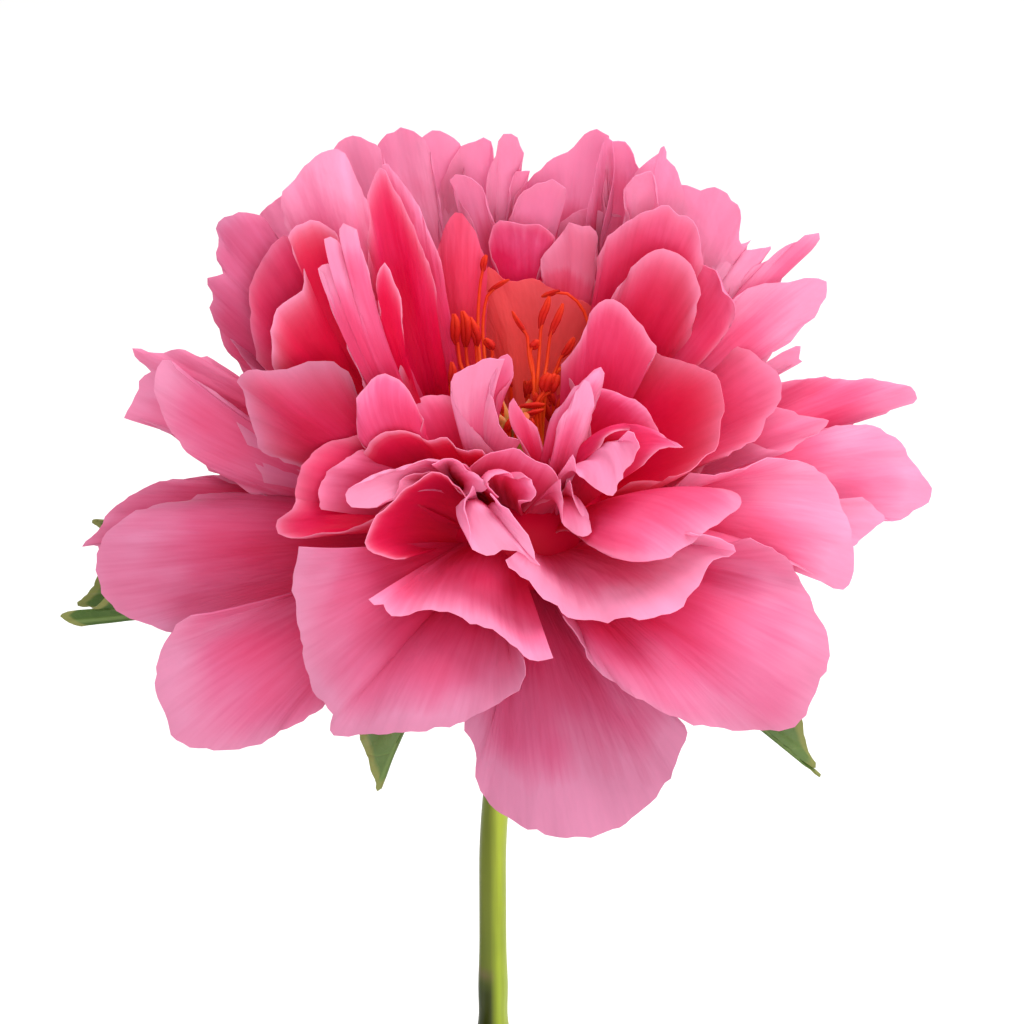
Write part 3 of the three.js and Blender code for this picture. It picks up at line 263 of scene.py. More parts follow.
# name, ring, middle of the spine, tip, left edge, right edge, and how the petal differs from petalShape.
# bow is how far the spine's bend goes sideways, and hem how far the very edge stands up.
petalRows = [
    ("guardFront", 0, (8, -33, -38), (12.6, -65.5, -64), (33.6, -43, -40), (-8.5, -45, -44),
     {"curl": -3, "dusk": 0.5, "light": 0.18}),
    ("guardFrontLeft", 1, (-12, -21, -44), (-18, -44.5, -60), (4.5, -29, -56), (-40, -22, -46),
     {"curl": -4, "deep": 0.2, "rim": 6.0, "pale": 0.65, "dusk": 0.45, "light": 0.05}),
    ("guardLeft", 1, (-45, -7, -14), (-83.5, -12, -16), (-53, -27, -38), (-55, 4.5, 12),
     {"curl": -2, "deep": 0.3, "rim": 5.0, "dusk": 0.5}),
    ("guardLeftLow", 0, (-38, -20, -28), (-62, -46.5, -42), (-43, -41, -50), (-69, -27, -22),
     {"curl": -3, "dusk": 0.4}),
    ("guardLeftBehind", 0, (-46, 1, 10), (-86.5, -7, 2), (-60, -16, -12), (-63, 8, 26),
     {"deep": 0.3, "dusk": 0.35}),
    ("leftRise", 0, (-42, 14, 8), (-76.5, 26.5, 14), (-64, 11, 0), (-57, 30, 26),
     {"deep": 0.2, "dusk": 0.25}),
    ("leftFold", 1, (-49, 8, -4), (-70.5, 30, -4), (-66, 15, -6), (-55, 19, 0),
     {"dusk": 0.25}),
    ("guardRightLow", 0, (29, -18, -38), (55, -39.5, -42), (59, -14, -16), (27, -39, -62),
     {"curl": -3, "rim": 5.0, "dusk": 0.3, "pale": 0.6}),
    ("guardRightFront", 1, (20, -6, -30), (27, -21.8, -56), (43.5, -5, -36), (3, -14, -50),
     {"curl": -2, "light": 0.2}),
    ("fillRight", 2, (22, 2, -26), (38, -5, -38), (42, 5, -24), (20, -9, -42),
     {"shoulder": 0.62, "blunt": 2.2, "deep": 0.4, "dusk": 0.1}),
    ("guardRight", 1, (35, 3.5, -14), (68.5, -14.5, -24), (62, 8, -2), (47, -8, -36),
     {"curl": -4, "deep": 0.1, "rim": 5.0, "pale": 0.6, "light": 0.05}),
    ("guardRightFar", 0, (49, 9, 4), (83.8, 4.4, 6), (66, 17.5, 20), (69, -2, -10),
     {"light": 0.06}),
    ("guardRightUnder", 0, (42, 2, -2), (73.5, -4, -8), (66, 6, 6), (62, -9, -22),
     {"light": 0.1}),
    ("rightRise", 0, (50, 18, 16), (81, 23, 18), (66, 27, 32), (64, 17, 8),
     {"deep": 0.1}),
    ("rightRiseLow", 1, (44, 13, 2), (63.6, 18.4, 0), (54, 21.5, 10), (54, 11, -8),
     {}),
    ("cupLeft", 2, (-31, 13, -14), (-44, 29.8, -10), (-54, 21, -20), (-30, 25, 0),
     {"curl": 3, "deep": 0.85, "light": -0.25, "rim": 4.5, "pale": 0.85, "dusk": 0.5, "hem": 0.5}),
    ("knob", 3, (-23, 14, -17), (-25.6, 28, -14), (-17.4, 19, -17), (-31.4, 20, -18),
     {"deep": 0.8, "rim": 0.8, "pale": 0.6, "hem": 0.1}),
    ("tongueLeft", 3, (-17, 8, -24), (-33.8, 2.6, -34), (-25, 0.6, -36), (-25, 8.6, -26),
     {"light": 0.2}),
    ("awning", 2, (-12, 5, -20), (-14.4, 8, -34), (-7, 2, -40), (-29.6, -6.6, -44),
     {"deep": 1.0, "light": -0.3, "rim": 1.2, "pale": 0.8, "bow": 0.8}),
    ("lobeFront", 3, (-6, 2, -34), (6, -11.2, -50), (1.6, -3.4, -46), (-8.6, -8.6, -46),
     {"light": 0.35}),
    ("fanFront", 2, (-10, -8, -34), (-6, -23, -54), (8.2, -29.4, -60), (-28.4, -18, -50),
     {"deep": 0.35, "light": 0.05, "rim": 3.0, "dusk": 0.05}),
    ("sideLeft", 2, (-26, 0, -24), (-47.6, -3, -32), (-32, -8, -40), (-42, 7, -14),
     {"deep": 1.0, "rim": 1.8, "pale": 0.7, "dusk": 0.15, "light": -0.32}),
    ("sideLeftUp", 2, (-25, 7, -18), (-43.4, 6, -24), (-38, 1, -30), (-36, 15, -10),
     {"deep": 1.0, "dusk": 0.1, "light": -0.3}),
    ("crinkle", 4, (-1.6, 5.4, -27), (5, 3, -38), (0, 8, -31), (-3, 2.6, -40),
     {"deep": 0.3}),
    ("wavyRim", 3, (-11, 8, -14), (-17, 14.8, -18), (-5.6, 9, -22), (-28, 15.5, -22),
     {"deep": 1.0, "light": -0.6, "rim": 0.8, "pale": 0.9}),
    ("redLeft", 3, (-16, 12, -10), (-21, 22, -8), (-26, 12, -16), (-10, 21, -6),
     {"deep": 0.8}),
    ("redFront", 4, (0, 6, -16), (3, 12, -22), (9, 4, -26), (-9, 8, -22),
     {"deep": 0.8}),
    ("crescent", 4, (-6.4, 17, -12), (-4.4, 31.4, -14), (-12.8, 25, -16), (0, 28, -12),
     {"light": 0.25}),
    ("crescentBack", 4, (-4, 16, -8), (0, 30, -9), (-3, 22, -10), (0, 28, -8),
     {"deep": 0.4}),
    ("strip", 4, (5, 11, -14), (1, 22.5, -14), (0, 17, -14), (9.4, 7.4, -18),
     {"deep": 0.5}),
    ("keel", 3, (12, 13, -19), (17.4, 29, -14), (9.6, 16, -21), (15.8, 17, -18),
     {"deep": 0.3, "light": 0.2}),
    ("stub", 3, (11, 3.4, -26), (14.8, -5, -36), (14.6, 0.6, -32), (8.6, -1, -32),
     {"deep": 0.3}),
    ("curlRight", 3, (17, 15, -24), (20, 3.6, -34), (13, 9, -29), (25.4, 14, -31),
     {"light": 0.3, "bow": 0.8}),
    ("hook", 3, (20, 14.4, -24), (34.4, 12.4, -30), (27, 17, -24), (24, 11, -28),
     {"light": -0.1, "deep": 0.85, "rim": 1.4, "pale": 0.85}),
    ("cupRed", 2, (23, 16, 0), (42.2, 22, -4), (23, 33, 14), (33, 8, -28),
     {"curl": 2, "deep": 1.0, "light": -0.4, "rim": 3.6, "pale": 0.6}),
    ("cupRedBehind", 1, (34, 18, 6), (54.2, 25, 2), (38, 34.6, 24), (44, 9, -18),
     {"deep": 0.6, "light": -0.12, "rim": 4.0, "pale": 0.7}),
    ("leaning", 3, (16, 26, 2), (18.6, 43.2, 4), (8.4, 27, 2), (29, 33, 0),
     {"deep": 0.7, "light": -0.1, "rim": 2.2, "pale": 0.8}),
    ("redRight", 3, (18, 16, -12), (25, 22, -14), (12, 24, -4), (28, 12, -24),
     {"deep": 0.9}),
    ("archRight", 2, (27, 36, 16), (30.6, 52.8, 14), (20.4, 43, 14), (37.4, 41, 6),
     {"deep": 0.8, "light": -0.3, "rim": 4.0, "pale": 0.85, "crease": 0.38, "hem": -0.5}),
    ("ruffRight", 2, (27, 46, 22), (29, 61.8, 20), (17.6, 54, 20), (38.4, 54, 14),
     {"deep": 0.85, "rim": 4.0, "pale": 0.85, "light": -0.15, "crease": 0.38, "hem": 0.5}),
    ("backRight", 1, (36, 47, 28), (39, 65.4, 30), (31, 66, 32), (46.4, 55, 20),
     {"deep": 0.2, "light": 0.18, "crease": 0.38}),
    ("pointRight", 2, (27, 58, 30), (30.2, 74, 30), (25.6, 66, 30), (34, 65, 29),
     {"deep": 0.3, "light": 0.2}),
    ("fingersRight", 1, (42, 41, 20), (61.6, 56, 22), (53.2, 52.4, 24), (55.6, 48.8, 19),
     {"light": 0.05}),
    ("paddleRight", 1, (40, 35, 14), (63.4, 45.6, 14), (54, 47, 22), (56, 33.6, 4),
     {"light": 0.05}),
    ("tipRight", 1, (40, 40, 19), (52.2, 53, 24), (50, 51, 24), (50, 48, 22),
     {"light": 0.35}),
    ("sliverRight", 1, (38, 42, 20), (48.2, 54.3, 25), (44, 53.2, 26), (46.4, 51.4, 24),
     {"light": 0.15}),
    ("tabRight", 1, (44, 26, 20), (58, 32.6, 22), (53, 33, 26), (54, 28, 18),
     {"light": 0.15}),
    ("wallRight", 2, (35, 36, 12), (41, 47, 12), (34, 46, 18), (43.4, 37, 6),
     {"blunt": 2.4, "deep": 0.3}),
    ("ridgeTop", 2, (14, 50, 40), (16.6, 77.4, 42), (4, 66, 42), (24.4, 70, 40),
     {"deep": 0.15, "light": 0.2, "pleat": 0.5, "flatSides": 0.2, "crease": 0.38}),
    ("ridgeFold", 3, (16.4, 44, 36), (19.4, 75, 31.5), (16.2, 64, 32), (19, 62, 32),
     {"deep": 0.5, "light": 0.25, "pale": 0.1, "pleat": 0.0, "ruffle": 0.1, "flatSides": 0.2}),
    ("ridgeTopB", 3, (19, 50, 34), (21.4, 75.4, 34), (16, 66, 36), (25.6, 68, 32),
     {"deep": 0.1, "light": 0.2, "pleat": 0.5, "flatSides": 0.2, "crease": 0.38}),
    ("paleTop", 3, (24, 50, 24), (26.4, 68.6, 24), (21.6, 63, 26), (29.2, 64, 22),
     {"light": 0.6, "pleat": 0.5, "pale": 0.8, "rim": 4.0, "flatSides": 0.2}),
    ("paleBack", 4, (12, 38, 24), (13, 58, 28), (6, 50, 26), (17.5, 52, 27),
     {"light": 0.12, "deep": 0.95, "rim": 4.0, "pale": 0.8, "flatSides": 0.2, "warm": 0.3}),
    ("scallop", 4, (3, 40, 27), (4, 58, 29), (-3, 54, 28), (8, 55, 29),
     {"deep": 1.0, "rim": 1.6, "pale": 0.6, "flatSides": 0.2}),
    ("spoon", 4, (4, 42, 30), (9, 66, 34), (3, 62, 33), (10.5, 62, 34),
     {"light": 0.3, "deep": 0.75, "rim": 4.0, "pale": 0.8, "flatSides": 0.2}),
    ("fingerTop", 3, (-1, 45, 36), (-0.6, 75.8, 39), (-3.4, 68, 38), (2.2, 68, 38),
     {"light": 0.4, "pleat": 0.5, "pale": 0.7, "rim": 4.0, "flatSides": 0.2}),
    ("shardTop", 3, (-6, 45, 38), (-6, 75, 41), (-11, 68, 41), (-3, 67, 40),
     {"light": 0.3, "pleat": 0.5, "flatSides": 0.2}),
    ("crownTop", 2, (-17, 50, 36), (-21.4, 77.4, 37), (-28, 70, 33), (-12, 72, 40),
     {"light": 0.2, "pleat": 0.5, "crease": 0.38}),
    ("crownTopB", 2, (-13, 50, 40), (-14.4, 76.4, 42), (-20, 70, 40), (-9, 70, 43),
     {"light": 0.2, "pleat": 0.5, "crease": 0.38}),
    ("crownLeft", 2, (-26, 50, 28), (-31.4, 75.2, 27), (-37, 67, 24), (-24, 70, 30),
     {"light": 0.22, "pleat": 0.5, "crease": 0.38}),
    ("domeLeft", 2, (-35, 52, 6), (-36, 72, 14), (-45.4, 63, 12), (-28.6, 60, 17),
     {"light": 0.12, "pleat": 0.3, "ruffle": 0.3, "crease": 0.45}),
    ("earBehind", 1, (-38, 42, 22), (-48, 64, 24), (-54, 56, 18), (-40, 66, 28),
     {"light": 0.22}),
    ("earLeft", 1, (-42, 37, 8), (-57.4, 57.4, 10), (-61.6, 45, 2), (-46, 60, 20),
     {"deep": 0.6, "dusk": 0.5, "crease": 0.38}),
    ("earLeftLow", 1, (-42, 27, 6), (-60.4, 42, 6), (-55, 28, 0), (-55, 47, 14),
     {"deep": 0.6, "dusk": 0.5}),
    ("bandLeft", 2, (-42, 34, 4), (-48.4, 54, 4), (-53.4, 36, -4), (-40, 56, 14),
     {"deep": 0.85, "light": -0.2, "rim": 2.6, "dusk": 0.3}),
    ("cupDark", 2, (-36, 32, 0), (-41, 58.6, 0), (-48.4, 34, -10), (-32, 54, 8),
     {"deep": 1.0, "light": -0.45, "rim": 2.6, "pale": 1.0, "hem": 0.2}),
    ("fingersLeft", 3, (-27, 30, -10), (-34, 57.5, -6), (-38, 44, -10), (-28, 48, -6),
     {"light": 0.1, "deep": 0.55, "rim": 3.2, "pale": 1.0}),
    ("bladeLeft", 3, (-23.5, 32, -8), (-25.4, 50.5, -8), (-27, 38, -9), (-21.6, 38, -7),
     {"deep": 1.0, "light": -0.3, "rim": 2.4, "pale": 1.0}),
    ("sailLeft", 3, (-20, 38, 4), (-26.6, 69.4, 6), (-31, 50, -2), (-11.4, 37, 8),
     {"deep": 1.0, "light": -0.2, "rim": 3.0, "pale": 0.75}),
    ("sailLeftB", 3, (-17, 38, 8), (-25.4, 70, 10), (-28, 55, 6), (-11, 37, 10),
     {"deep": 0.5, "rim": 2.4, "pale": 0.7}),
    ("wallBack", 4, (5, 30, 20), (4, 47, 25), (-5, 44, 24), (16, 44, 23),
     {"warm": 1.0, "pale": 0.0}),
    ("wallBackLeft", 4, (-10, 32, 16), (-11, 59, 26), (-15, 50, 22), (-6, 48, 23),
     {"warm": 0.3, "pale": 0.15, "light": -0.1, "deep": 0.9}),
    ("wallBackRight", 3, (18, 38, 33), (22, 59, 36), (10, 54, 36), (29, 50, 33),
     {"pale": 0.2, "light": 0.55, "deep": 0.1, "flatSides": 0.2}),
    ("tongueRight", 4, (-11, 6, -24), (-5.2, 4.8, -34), (-12.6, 5.4, -32), (-9.4, 10, -28),
     {"deep": 0.2}),
    ("sideLeftIn", 3, (-22, 6, -18), (-37, 7.6, -24), (-38.4, 0.6, -28), (-27, 11.6, -14),
     {"deep": 0.6}),
    ("keelBehind", 3, (11.4, 17, -16), (17.4, 28.4, -10), (9.4, 20, -14), (17.4, 22, -12),
     {"deep": 0.5, "light": 0.2}),
    ("horn", 3, (0, 45, 34), (3, 68.2, 37), (0, 62, 36), (2, 62, 36),
     {"deep": 0.3, "light": 0.15, "flatSides": 0.2}),
    ("palmTop", 4, (-4, 40, 31), (-11, 67, 34), (-11, 63, 34), (-5, 62, 33),
     {"deep": 0.6, "light": 0.25, "pleat": 0.9, "rim": 3.0, "pale": 0.6, "flatSides": 0.2}),
]

# Margins of the petals in front as the photograph shows them: mm to the right of the heart and mm above it,
# from one side of a petal round its tip to the other side.
margins = {
    "guardFront": [
        (0, -26), (-2.8, -31.2), (-6.8, -37.6), (-9.4, -42.4), (-9.2, -44.6), (-7.6, -47.6), (-7, -53.6),
        (-5, -57.6), (-0.4, -61.4), (6.6, -64.4), (13.6, -65.2), (20, -63.8), (26.6, -59.2), (31.2, -53.6),
        (34, -46.6), (34.6, -42.6), (31.4, -38.8), (26.8, -35.6), (21.6, -32), (17.6, -28.6), (14.6, -25.6)],
    "guardFrontLeft": [
        (-43, -6.6), (-43.8, -12), (-43.2, -19.6), (-41.8, -28), (-39.8, -35.6), (-37.2, -38.4), (-35.8, -40),
        (-36.2, -42.4), (-36, -44.6), (-30.4, -44.6), (-23.4, -44.2), (-16.4, -43.6), (-9.8, -42),
        (-3.4, -38.8), (0.8, -35.6), (2.6, -32.4), (3.2, -29.6)],
    "guardLeft": [
        (-44.4, -25.6), (-48.4, -26.2), (-54.4, -26.4), (-61.4, -25.6), (-68.4, -24), (-74.4, -22),
        (-78.4, -20.4), (-81.2, -17.6), (-82.6, -14), (-83.2, -10), (-82.2, -5.6), (-79.6, -2.6),
        (-74.4, 0.2), (-68.4, 2.2), (-61.4, 3.4), (-54.4, 3.6), (-49.4, 2.8), (-45, 0)],
    "guardLeftLow": [
        (-64.4, -20.6), (-68.4, -24.8), (-70.6, -29.2), (-71.4, -34.2), (-70.4, -38.6), (-69, -41.6),
        (-68.2, -44.8), (-64.4, -46.8), (-59.4, -47.6), (-54.4, -47.4), (-50, -46), (-45.4, -43.8),
        (-41.8, -41.2), (-38, -38.6), (-35, -30)],
    "guardLeftBehind": [
        (-50.8, 4), (-56.2, 6.4), (-61.8, 7), (-67.4, 6.4), (-72.4, 5), (-77.4, 2.6), (-81, -0.6),
        (-83.4, -4), (-86.2, -6.8), (-83, -6.8), (-80.4, -12.6), (-74, -16), (-64, -16)],
    "leftRise": [
        (-50, 22.4), (-54.4, 26), (-57.4, 27.4), (-59.8, 29), (-61.4, 30.8), (-62, 30.2), (-64.4, 31.8),
        (-66.8, 32.6), (-70.4, 32), (-73.4, 32.4), (-76, 32.8), (-74.6, 30.4), (-72.2, 28.6), (-73.8, 27.2),
        (-75.2, 23.8), (-76.4, 21.2), (-77.4, 18.8), (-75.2, 18.8), (-72.8, 17.6), (-69.4, 16.2),
        (-66.8, 14.4), (-63.4, 11.2), (-58.4, 8), (-54.4, 6)],
    "leftFold": [
        (-49.6, 6), (-52, 11.2), (-54.4, 16.8), (-57.2, 21.4), (-60.4, 24.2), (-63.4, 26.4), (-66.6, 28.2),
        (-68.4, 30.2), (-70.4, 29.4), (-71.4, 27.8), (-71.6, 25.4), (-70.8, 21.8), (-69.4, 18), (-66.8, 14),
        (-63.4, 10.8), (-58.4, 7.6), (-53.4, 4.4), (-48.8, 2)],
    "guardRightLow": [
        (9.8, -21.2), (13.6, -26.6), (17.6, -31.8), (22, -35.2), (27.6, -38.6), (34.4, -41.8), (37.6, -42.8),
        (41.6, -43.2), (46.6, -43.8), (51.6, -43.6), (55.6, -42.8), (57.8, -41.2), (60, -37.6), (61.6, -34.6),
        (62.8, -31.2), (63.2, -27.6), (62.2, -23.6), (60.6, -19.2), (58.6, -15.6), (57, -12.2), (54.6, -8.6),
        (47.6, -5.6)],
    "guardRightFront": [
        (-1.4, -9.6), (2, -12.6), (5.6, -17), (9.6, -20), (14.6, -21.4), (20.6, -21.8), (26.6, -21.4),
        (31.2, -20.2), (34.8, -18), (37.6, -14.8), (40, -10.2), (42, -8.8), (45, -7.6), (41.6, -5),
        (35.6, -3.6)],
    "guardRight": [
        (11.6, 1.4), (15.2, -1.2), (19.6, -3), (26.6, -4.2), (33.6, -5.6), (38, -5.2), (42, -6.4), (46, -8.4),
        (49.2, -9.4), (53.2, -9.8), (57, -11.2), (60, -12.6), (62.6, -14.2), (65.6, -15.6), (67.8, -14.2),
        (68.4, -10.6), (68, -6.6), (67.6, -3.2), (66.2, 0.8), (64.8, 4.4), (62.6, 7.6), (59.6, 9.6),
        (56, 10.6), (50.6, 10), (43.6, 8.4), (35.6, 7.2)],
    "guardRightFar": [
        (55.6, 14.4), (61.6, 16.2), (67.2, 17.6), (71.6, 16.8), (75.2, 15.6), (78, 13.6), (79.8, 10.8),
        (81.6, 8), (83.8, 5), (83.4, 2.6), (81.2, 0.8), (79.2, -0.6), (77.6, -1.4), (74.6, -1.6),
        (71.2, -2.2), (67.6, -2), (61.6, 1.4)],
    "guardRightUnder": [
        (70, 3), (73, 0.6), (74.4, -1.4), (72.6, -3.2), (70, -5.4), (67.8, -7), (64.6, -6.6), (59.6, -3.6)],
    "bractLeft": [
        (-76.4, -18.8), (-78, -19.4), (-80.4, -20.6), (-82.4, -21.4), (-84.4, -22.2), (-85.8, -22.8),
        (-87.2, -22.9), (-88.4, -22.4), (-89.6, -21.6), (-90.4, -20.6), (-88.8, -20.2), (-86.4, -20.2),
        (-84.4, -19.6), (-82.6, -18.4), (-80.8, -16.4)],
    "bractLeftUp": [
        (-81.2, -18.8), (-83.4, -19), (-84.8, -19), (-86, -19), (-86.8, -18.4), (-85.6, -17), (-84, -15),
        (-82.8, -12.8), (-81.6, -14.4), (-79.6, -17.2)],
    "bractSmall": [
        (-81.6, -3.8), (-83, -3.2), (-83.6, -2.6), (-84, -2), (-83.4, -1.6), (-82.4, -1.7), (-80.8, -2.4)],
    "bractFront": [
        (-30.6, -43.6), (-30.2, -45.6), (-29.4, -47.6), (-28.4, -50.6), (-27.5, -53), (-27, -54.6),
        (-27.4, -55.4), (-26.8, -55.7), (-26.2, -55), (-25.8, -53.8), (-25.6, -51.6), (-25, -48.6),
        (-24.4, -45.2), (-24, -43.2)],
    "bractRight": [
        (51.2, -42), (52.2, -43.6), (53.6, -45.2), (55.6, -47.6), (57.6, -50), (59.2, -51.4), (60.8, -52.4),
        (62.2, -53.1), (60.8, -52), (59.8, -51.1), (60.8, -51), (60.6, -50), (59.6, -48.8), (58.8, -46),
        (58.2, -43.6), (57.6, -41.2)],
    "rightRise": [
        (51.6, 25.4), (55.6, 26.4), (60.6, 26.8), (66.6, 26.6), (72.6, 26.4), (77.2, 25.6), (80.4, 24.8),
        (81.2, 23), (80.8, 21.4), (78.4, 21.6), (76.2, 21), (75.2, 20), (73.2, 19.8), (71.4, 20.2),
        (69.6, 18.8), (67.6, 17.4), (63.6, 14.4), (57.6, 13.4)],
    "rightRiseLow": [
        (51.6, 21.4), (55.6, 20.2), (60, 19), (63.6, 18.2), (61.8, 16.2), (59.8, 14.6), (57.2, 13.2),
        (54.2, 12.4), (51.2, 12.6), (48.6, 13.6), (46.6, 14.2)],
    "cupLeft": [
        (-42.4, 9.4), (-47.4, 11.2), (-50.6, 14.4), (-52.6, 20), (-53.8, 23.8), (-54.6, 27), (-52, 28.2),
        (-49.2, 27.8), (-45.4, 28.6), (-42, 29.6), (-39.2, 30.2), (-36.4, 29.6), (-34, 27.8), (-32, 25),
        (-30.6, 22.4), (-31, 18.8), (-30, 14.4)],
    "knob": [
        (-25.4, 11.8), (-29.2, 13), (-30.8, 15.4), (-31, 19.4), (-30.6, 22.8), (-29.2, 25.6), (-26.8, 27.4),
        (-24.4, 27.6), (-22, 26), (-20.2, 23.4), (-18.8, 20.8), (-18, 18.4), (-18.6, 16), (-21.4, 13.4)],
    "tongueLeft": [
        (-9.4, 10), (-13.4, 10.6), (-17.4, 10), (-21.4, 9), (-25.4, 7.8), (-29.4, 6), (-32.4, 4.4),
        (-33.6, 3), (-32.6, 1.4), (-30, 0.8), (-27.2, 0.6), (-24.8, 1.4), (-23.2, 3.6), (-22.6, 6),
        (-20, 7.6), (-16.4, 8)],
    "tongueRight": [
        (-16, 9.4), (-13, 10.4), (-10.4, 10.2), (-8.4, 8.4), (-6.4, 7), (-4.8, 5.4), (-5.6, 4.2), (-8, 4),
        (-10.6, 4.4), (-12.6, 6)],
    "awning": [
        (-8, 1), (-10, 3.4), (-12, 5.6), (-14, 7.2), (-16, 7.6), (-18.4, 7), (-20.6, 5.4), (-23.2, 2.6),
        (-26, -0.6), (-28.2, -3.2), (-29.6, -5.8), (-29, -7.4), (-27.2, -8.6), (-24.4, -9.2), (-21.8, -9)],
    "lobeFront": [
        (-7.6, 5.2), (-8.4, 2.6), (-8.8, -0.6), (-8.4, -4), (-8.2, -6.6), (-7.2, -8.2), (-6, -8.8),
        (-4.4, -8.6), (-2.2, -7.6), (0.6, -7.8), (3, -8.8), (5.8, -11.2), (4.6, -8.6), (3.4, -6.2),
        (1.4, -3.2), (-0.8, -0.4), (-2.6, 1.8), (-4, 4)],
    "fanFront": [
        (-28.6, -17.4), (-26.8, -18.2), (-25.6, -18.4), (-25.2, -20), (-22, -20.6), (-18.8, -20.4),
        (-16, -19.8), (-13, -20), (-10, -21), (-6.8, -22.4), (-4, -23.8), (-0.8, -26.2), (2, -28.6),
        (4, -29.6), (6, -29.2), (8.2, -29)],
    "sideLeft": [
        (-42.4, 6.4), (-44.4, 0.2), (-46.6, -1.4), (-47.4, -3.2), (-46.2, -4.8), (-43.4, -5.4), (-39.4, -5.2),
        (-34.8, -4), (-30.4, -2.6), (-27.2, -1), (-24.4, 1), (-20.4, 2.4)],
    "sideLeftUp": [
        (-42.4, 0.8), (-43.2, 3.4), (-42.8, 6.8), (-41.4, 10), (-39, 12.6), (-35.8, 14.2), (-32, 14.8),
        (-27.4, 13.4)],
    "sideLeftIn": [
        (-38.4, 0.6), (-38.8, 4.4), (-37, 7.6), (-34.4, 10), (-30.4, 12), (-25.4, 11.4)],
    "crinkle": [
        (-2.4, 3.4), (-5, 5), (-5.6, 6.4), (-4, 7.4), (-2.4, 7.8), (-0.2, 7.8), (0.8, 6.6), (3.2, 7),
        (4, 5.2), (5, 3.2), (3.6, 2), (1.2, 2.2)],
    "wavyRim": [
        (-29.4, 11.4), (-28, 14.4), (-26.8, 15.6), (-24.4, 16), (-22.2, 16.4), (-20, 15.6), (-18, 14),
        (-16.4, 13.8), (-14.4, 14.8), (-12.6, 14.2), (-11, 12.4), (-9.6, 12.6), (-7, 12.6), (-6, 12),
        (-6, 8.8), (-9, 9)],
    "crescent": [
        (2.2, 14.2), (-0.8, 15), (-2, 17.6), (-3.2, 20.8), (-4.2, 23.6), (-4.4, 25.6), (-3.8, 28), (-2.6, 30),
        (-1.4, 31), (-2.8, 31), (-5.6, 30.6), (-8.8, 29.4), (-11.2, 27.6), (-12.2, 25.2), (-11.4, 21.6),
        (-8.6, 17.6), (-5.6, 14.2), (-3, 11.4), (-0.4, 9.8), (1.6, 9.4), (2, 12)],
    "crescentBack": [
        (-3.2, 20.4), (-3, 22.4), (-2.2, 24.2), (-0.8, 26), (0.2, 28), (0, 30), (-1.2, 31), (-2.6, 30.8),
        (-3.6, 29.2)],
    "strip": [
        (5.6, 1.4), (6.2, 5.4), (4.6, 10), (2.4, 13.8), (0.2, 16.8), (-0.8, 20), (-0.2, 22.6), (1, 22.2),
        (1.8, 19.6), (4, 17.6), (5, 16.2), (5.8, 13.2), (7.6, 10), (9.2, 6.4), (9.6, 3.2)],
    "keel": [
        (7.2, 2.4), (8, 8.4), (9.2, 13.4), (9.8, 17.4), (11, 20.8), (12.8, 24), (14.4, 26.4), (15.2, 26.8),
        (15.8, 24.4), (15.8, 20.4), (15.4, 16.8), (14.2, 12.4), (12.6, 8.4), (10.8, 5), (8.8, 2.4)],
    "keelBehind": [
        (9, 12), (8, 18.4), (10.6, 22.4), (13.2, 25.4), (14.8, 27.8), (16, 28.8), (18, 28.8), (18.6, 27.2),
        (18.2, 25), (17, 22.8), (16, 20.4), (15, 14)],
    "stub": [
        (9.4, 6.4), (9.6, 2.4), (9.8, -0.6), (10.8, -3.2), (12.6, -4.4), (14.8, -4.8), (16, -4), (15.2, -1.6),
        (13.6, 0.8), (12.2, 3.6), (11.6, 6.4)],
    "curlRight": [
        (12, 11.4), (12.8, 9.2), (14, 6.8), (15.6, 5.4), (17.6, 4.4), (19.8, 3.4), (21.2, 4.4), (21, 5.8),
        (22.2, 7), (22.2, 8.4), (23.8, 9.4), (25.2, 11.4), (25.8, 13.6), (25, 15.6), (23.6, 16.6)],
    "hook": [
        (17.6, 12.8), (18.8, 14.8), (20.6, 16), (23.2, 16.6), (26, 16.6), (28.8, 15.8), (31.6, 14.6),
        (34.4, 12.8), (31.2, 13), (28.6, 12), (26.6, 9.4)],
    "cupRed": [
        (12.6, 24.4), (13.6, 29.4), (16, 31.8), (19.6, 32.6), (22.6, 32.2), (24.4, 31.2), (26.8, 32),
        (29.6, 31.4), (33.6, 30.2), (37.6, 29), (40.2, 27.8), (42, 25.4), (42.6, 22.4), (42, 18.4),
        (41.2, 14.4), (39.2, 11), (37, 8.8), (33.6, 6.8), (28.6, 6.2), (23.6, 6)],
    "cupRedBehind": [
        (29.6, 30.8), (32.6, 32.8), (35.6, 33.8), (39.6, 34.2), (43.6, 33.8), (46.8, 32.6), (49.6, 30.8),
        (52.2, 28.4), (54, 25.6), (53.8, 22.8), (52.2, 19.8), (49.6, 16.4), (46.6, 13.6), (42.6, 11.4),
        (39, 9.8), (37, 6.8)],
    "leaning": [
        (12.6, 25.4), (10, 29.6), (12, 32), (13.6, 34.4), (14.8, 37.2), (16, 40), (17.6, 42), (19.4, 42.8),
        (21.4, 41.8), (23.6, 40.2), (25.6, 37.6), (27.4, 34.8), (29.2, 32.4), (25.6, 28)],
    "archRight": [
        (20, 43.4), (22, 46.2), (24.4, 49.2), (26.8, 51.4), (29.6, 52.6), (32, 52.2), (34, 50.6),
        (35.8, 48.2), (37, 45.4), (37, 41.4), (36.4, 37.4), (35.4, 34), (32.6, 32), (28.6, 30)],
    "ruffRight": [
        (19.6, 44.4), (18.4, 48.8), (18.4, 52.8), (19.8, 55.6), (22.2, 57.6), (24.8, 59.2), (27.4, 60.8),
        (30, 61.6), (32, 61.2), (33.2, 59.6), (34.4, 59.8), (36, 58.2), (37.4, 55.6), (37.8, 52.4),
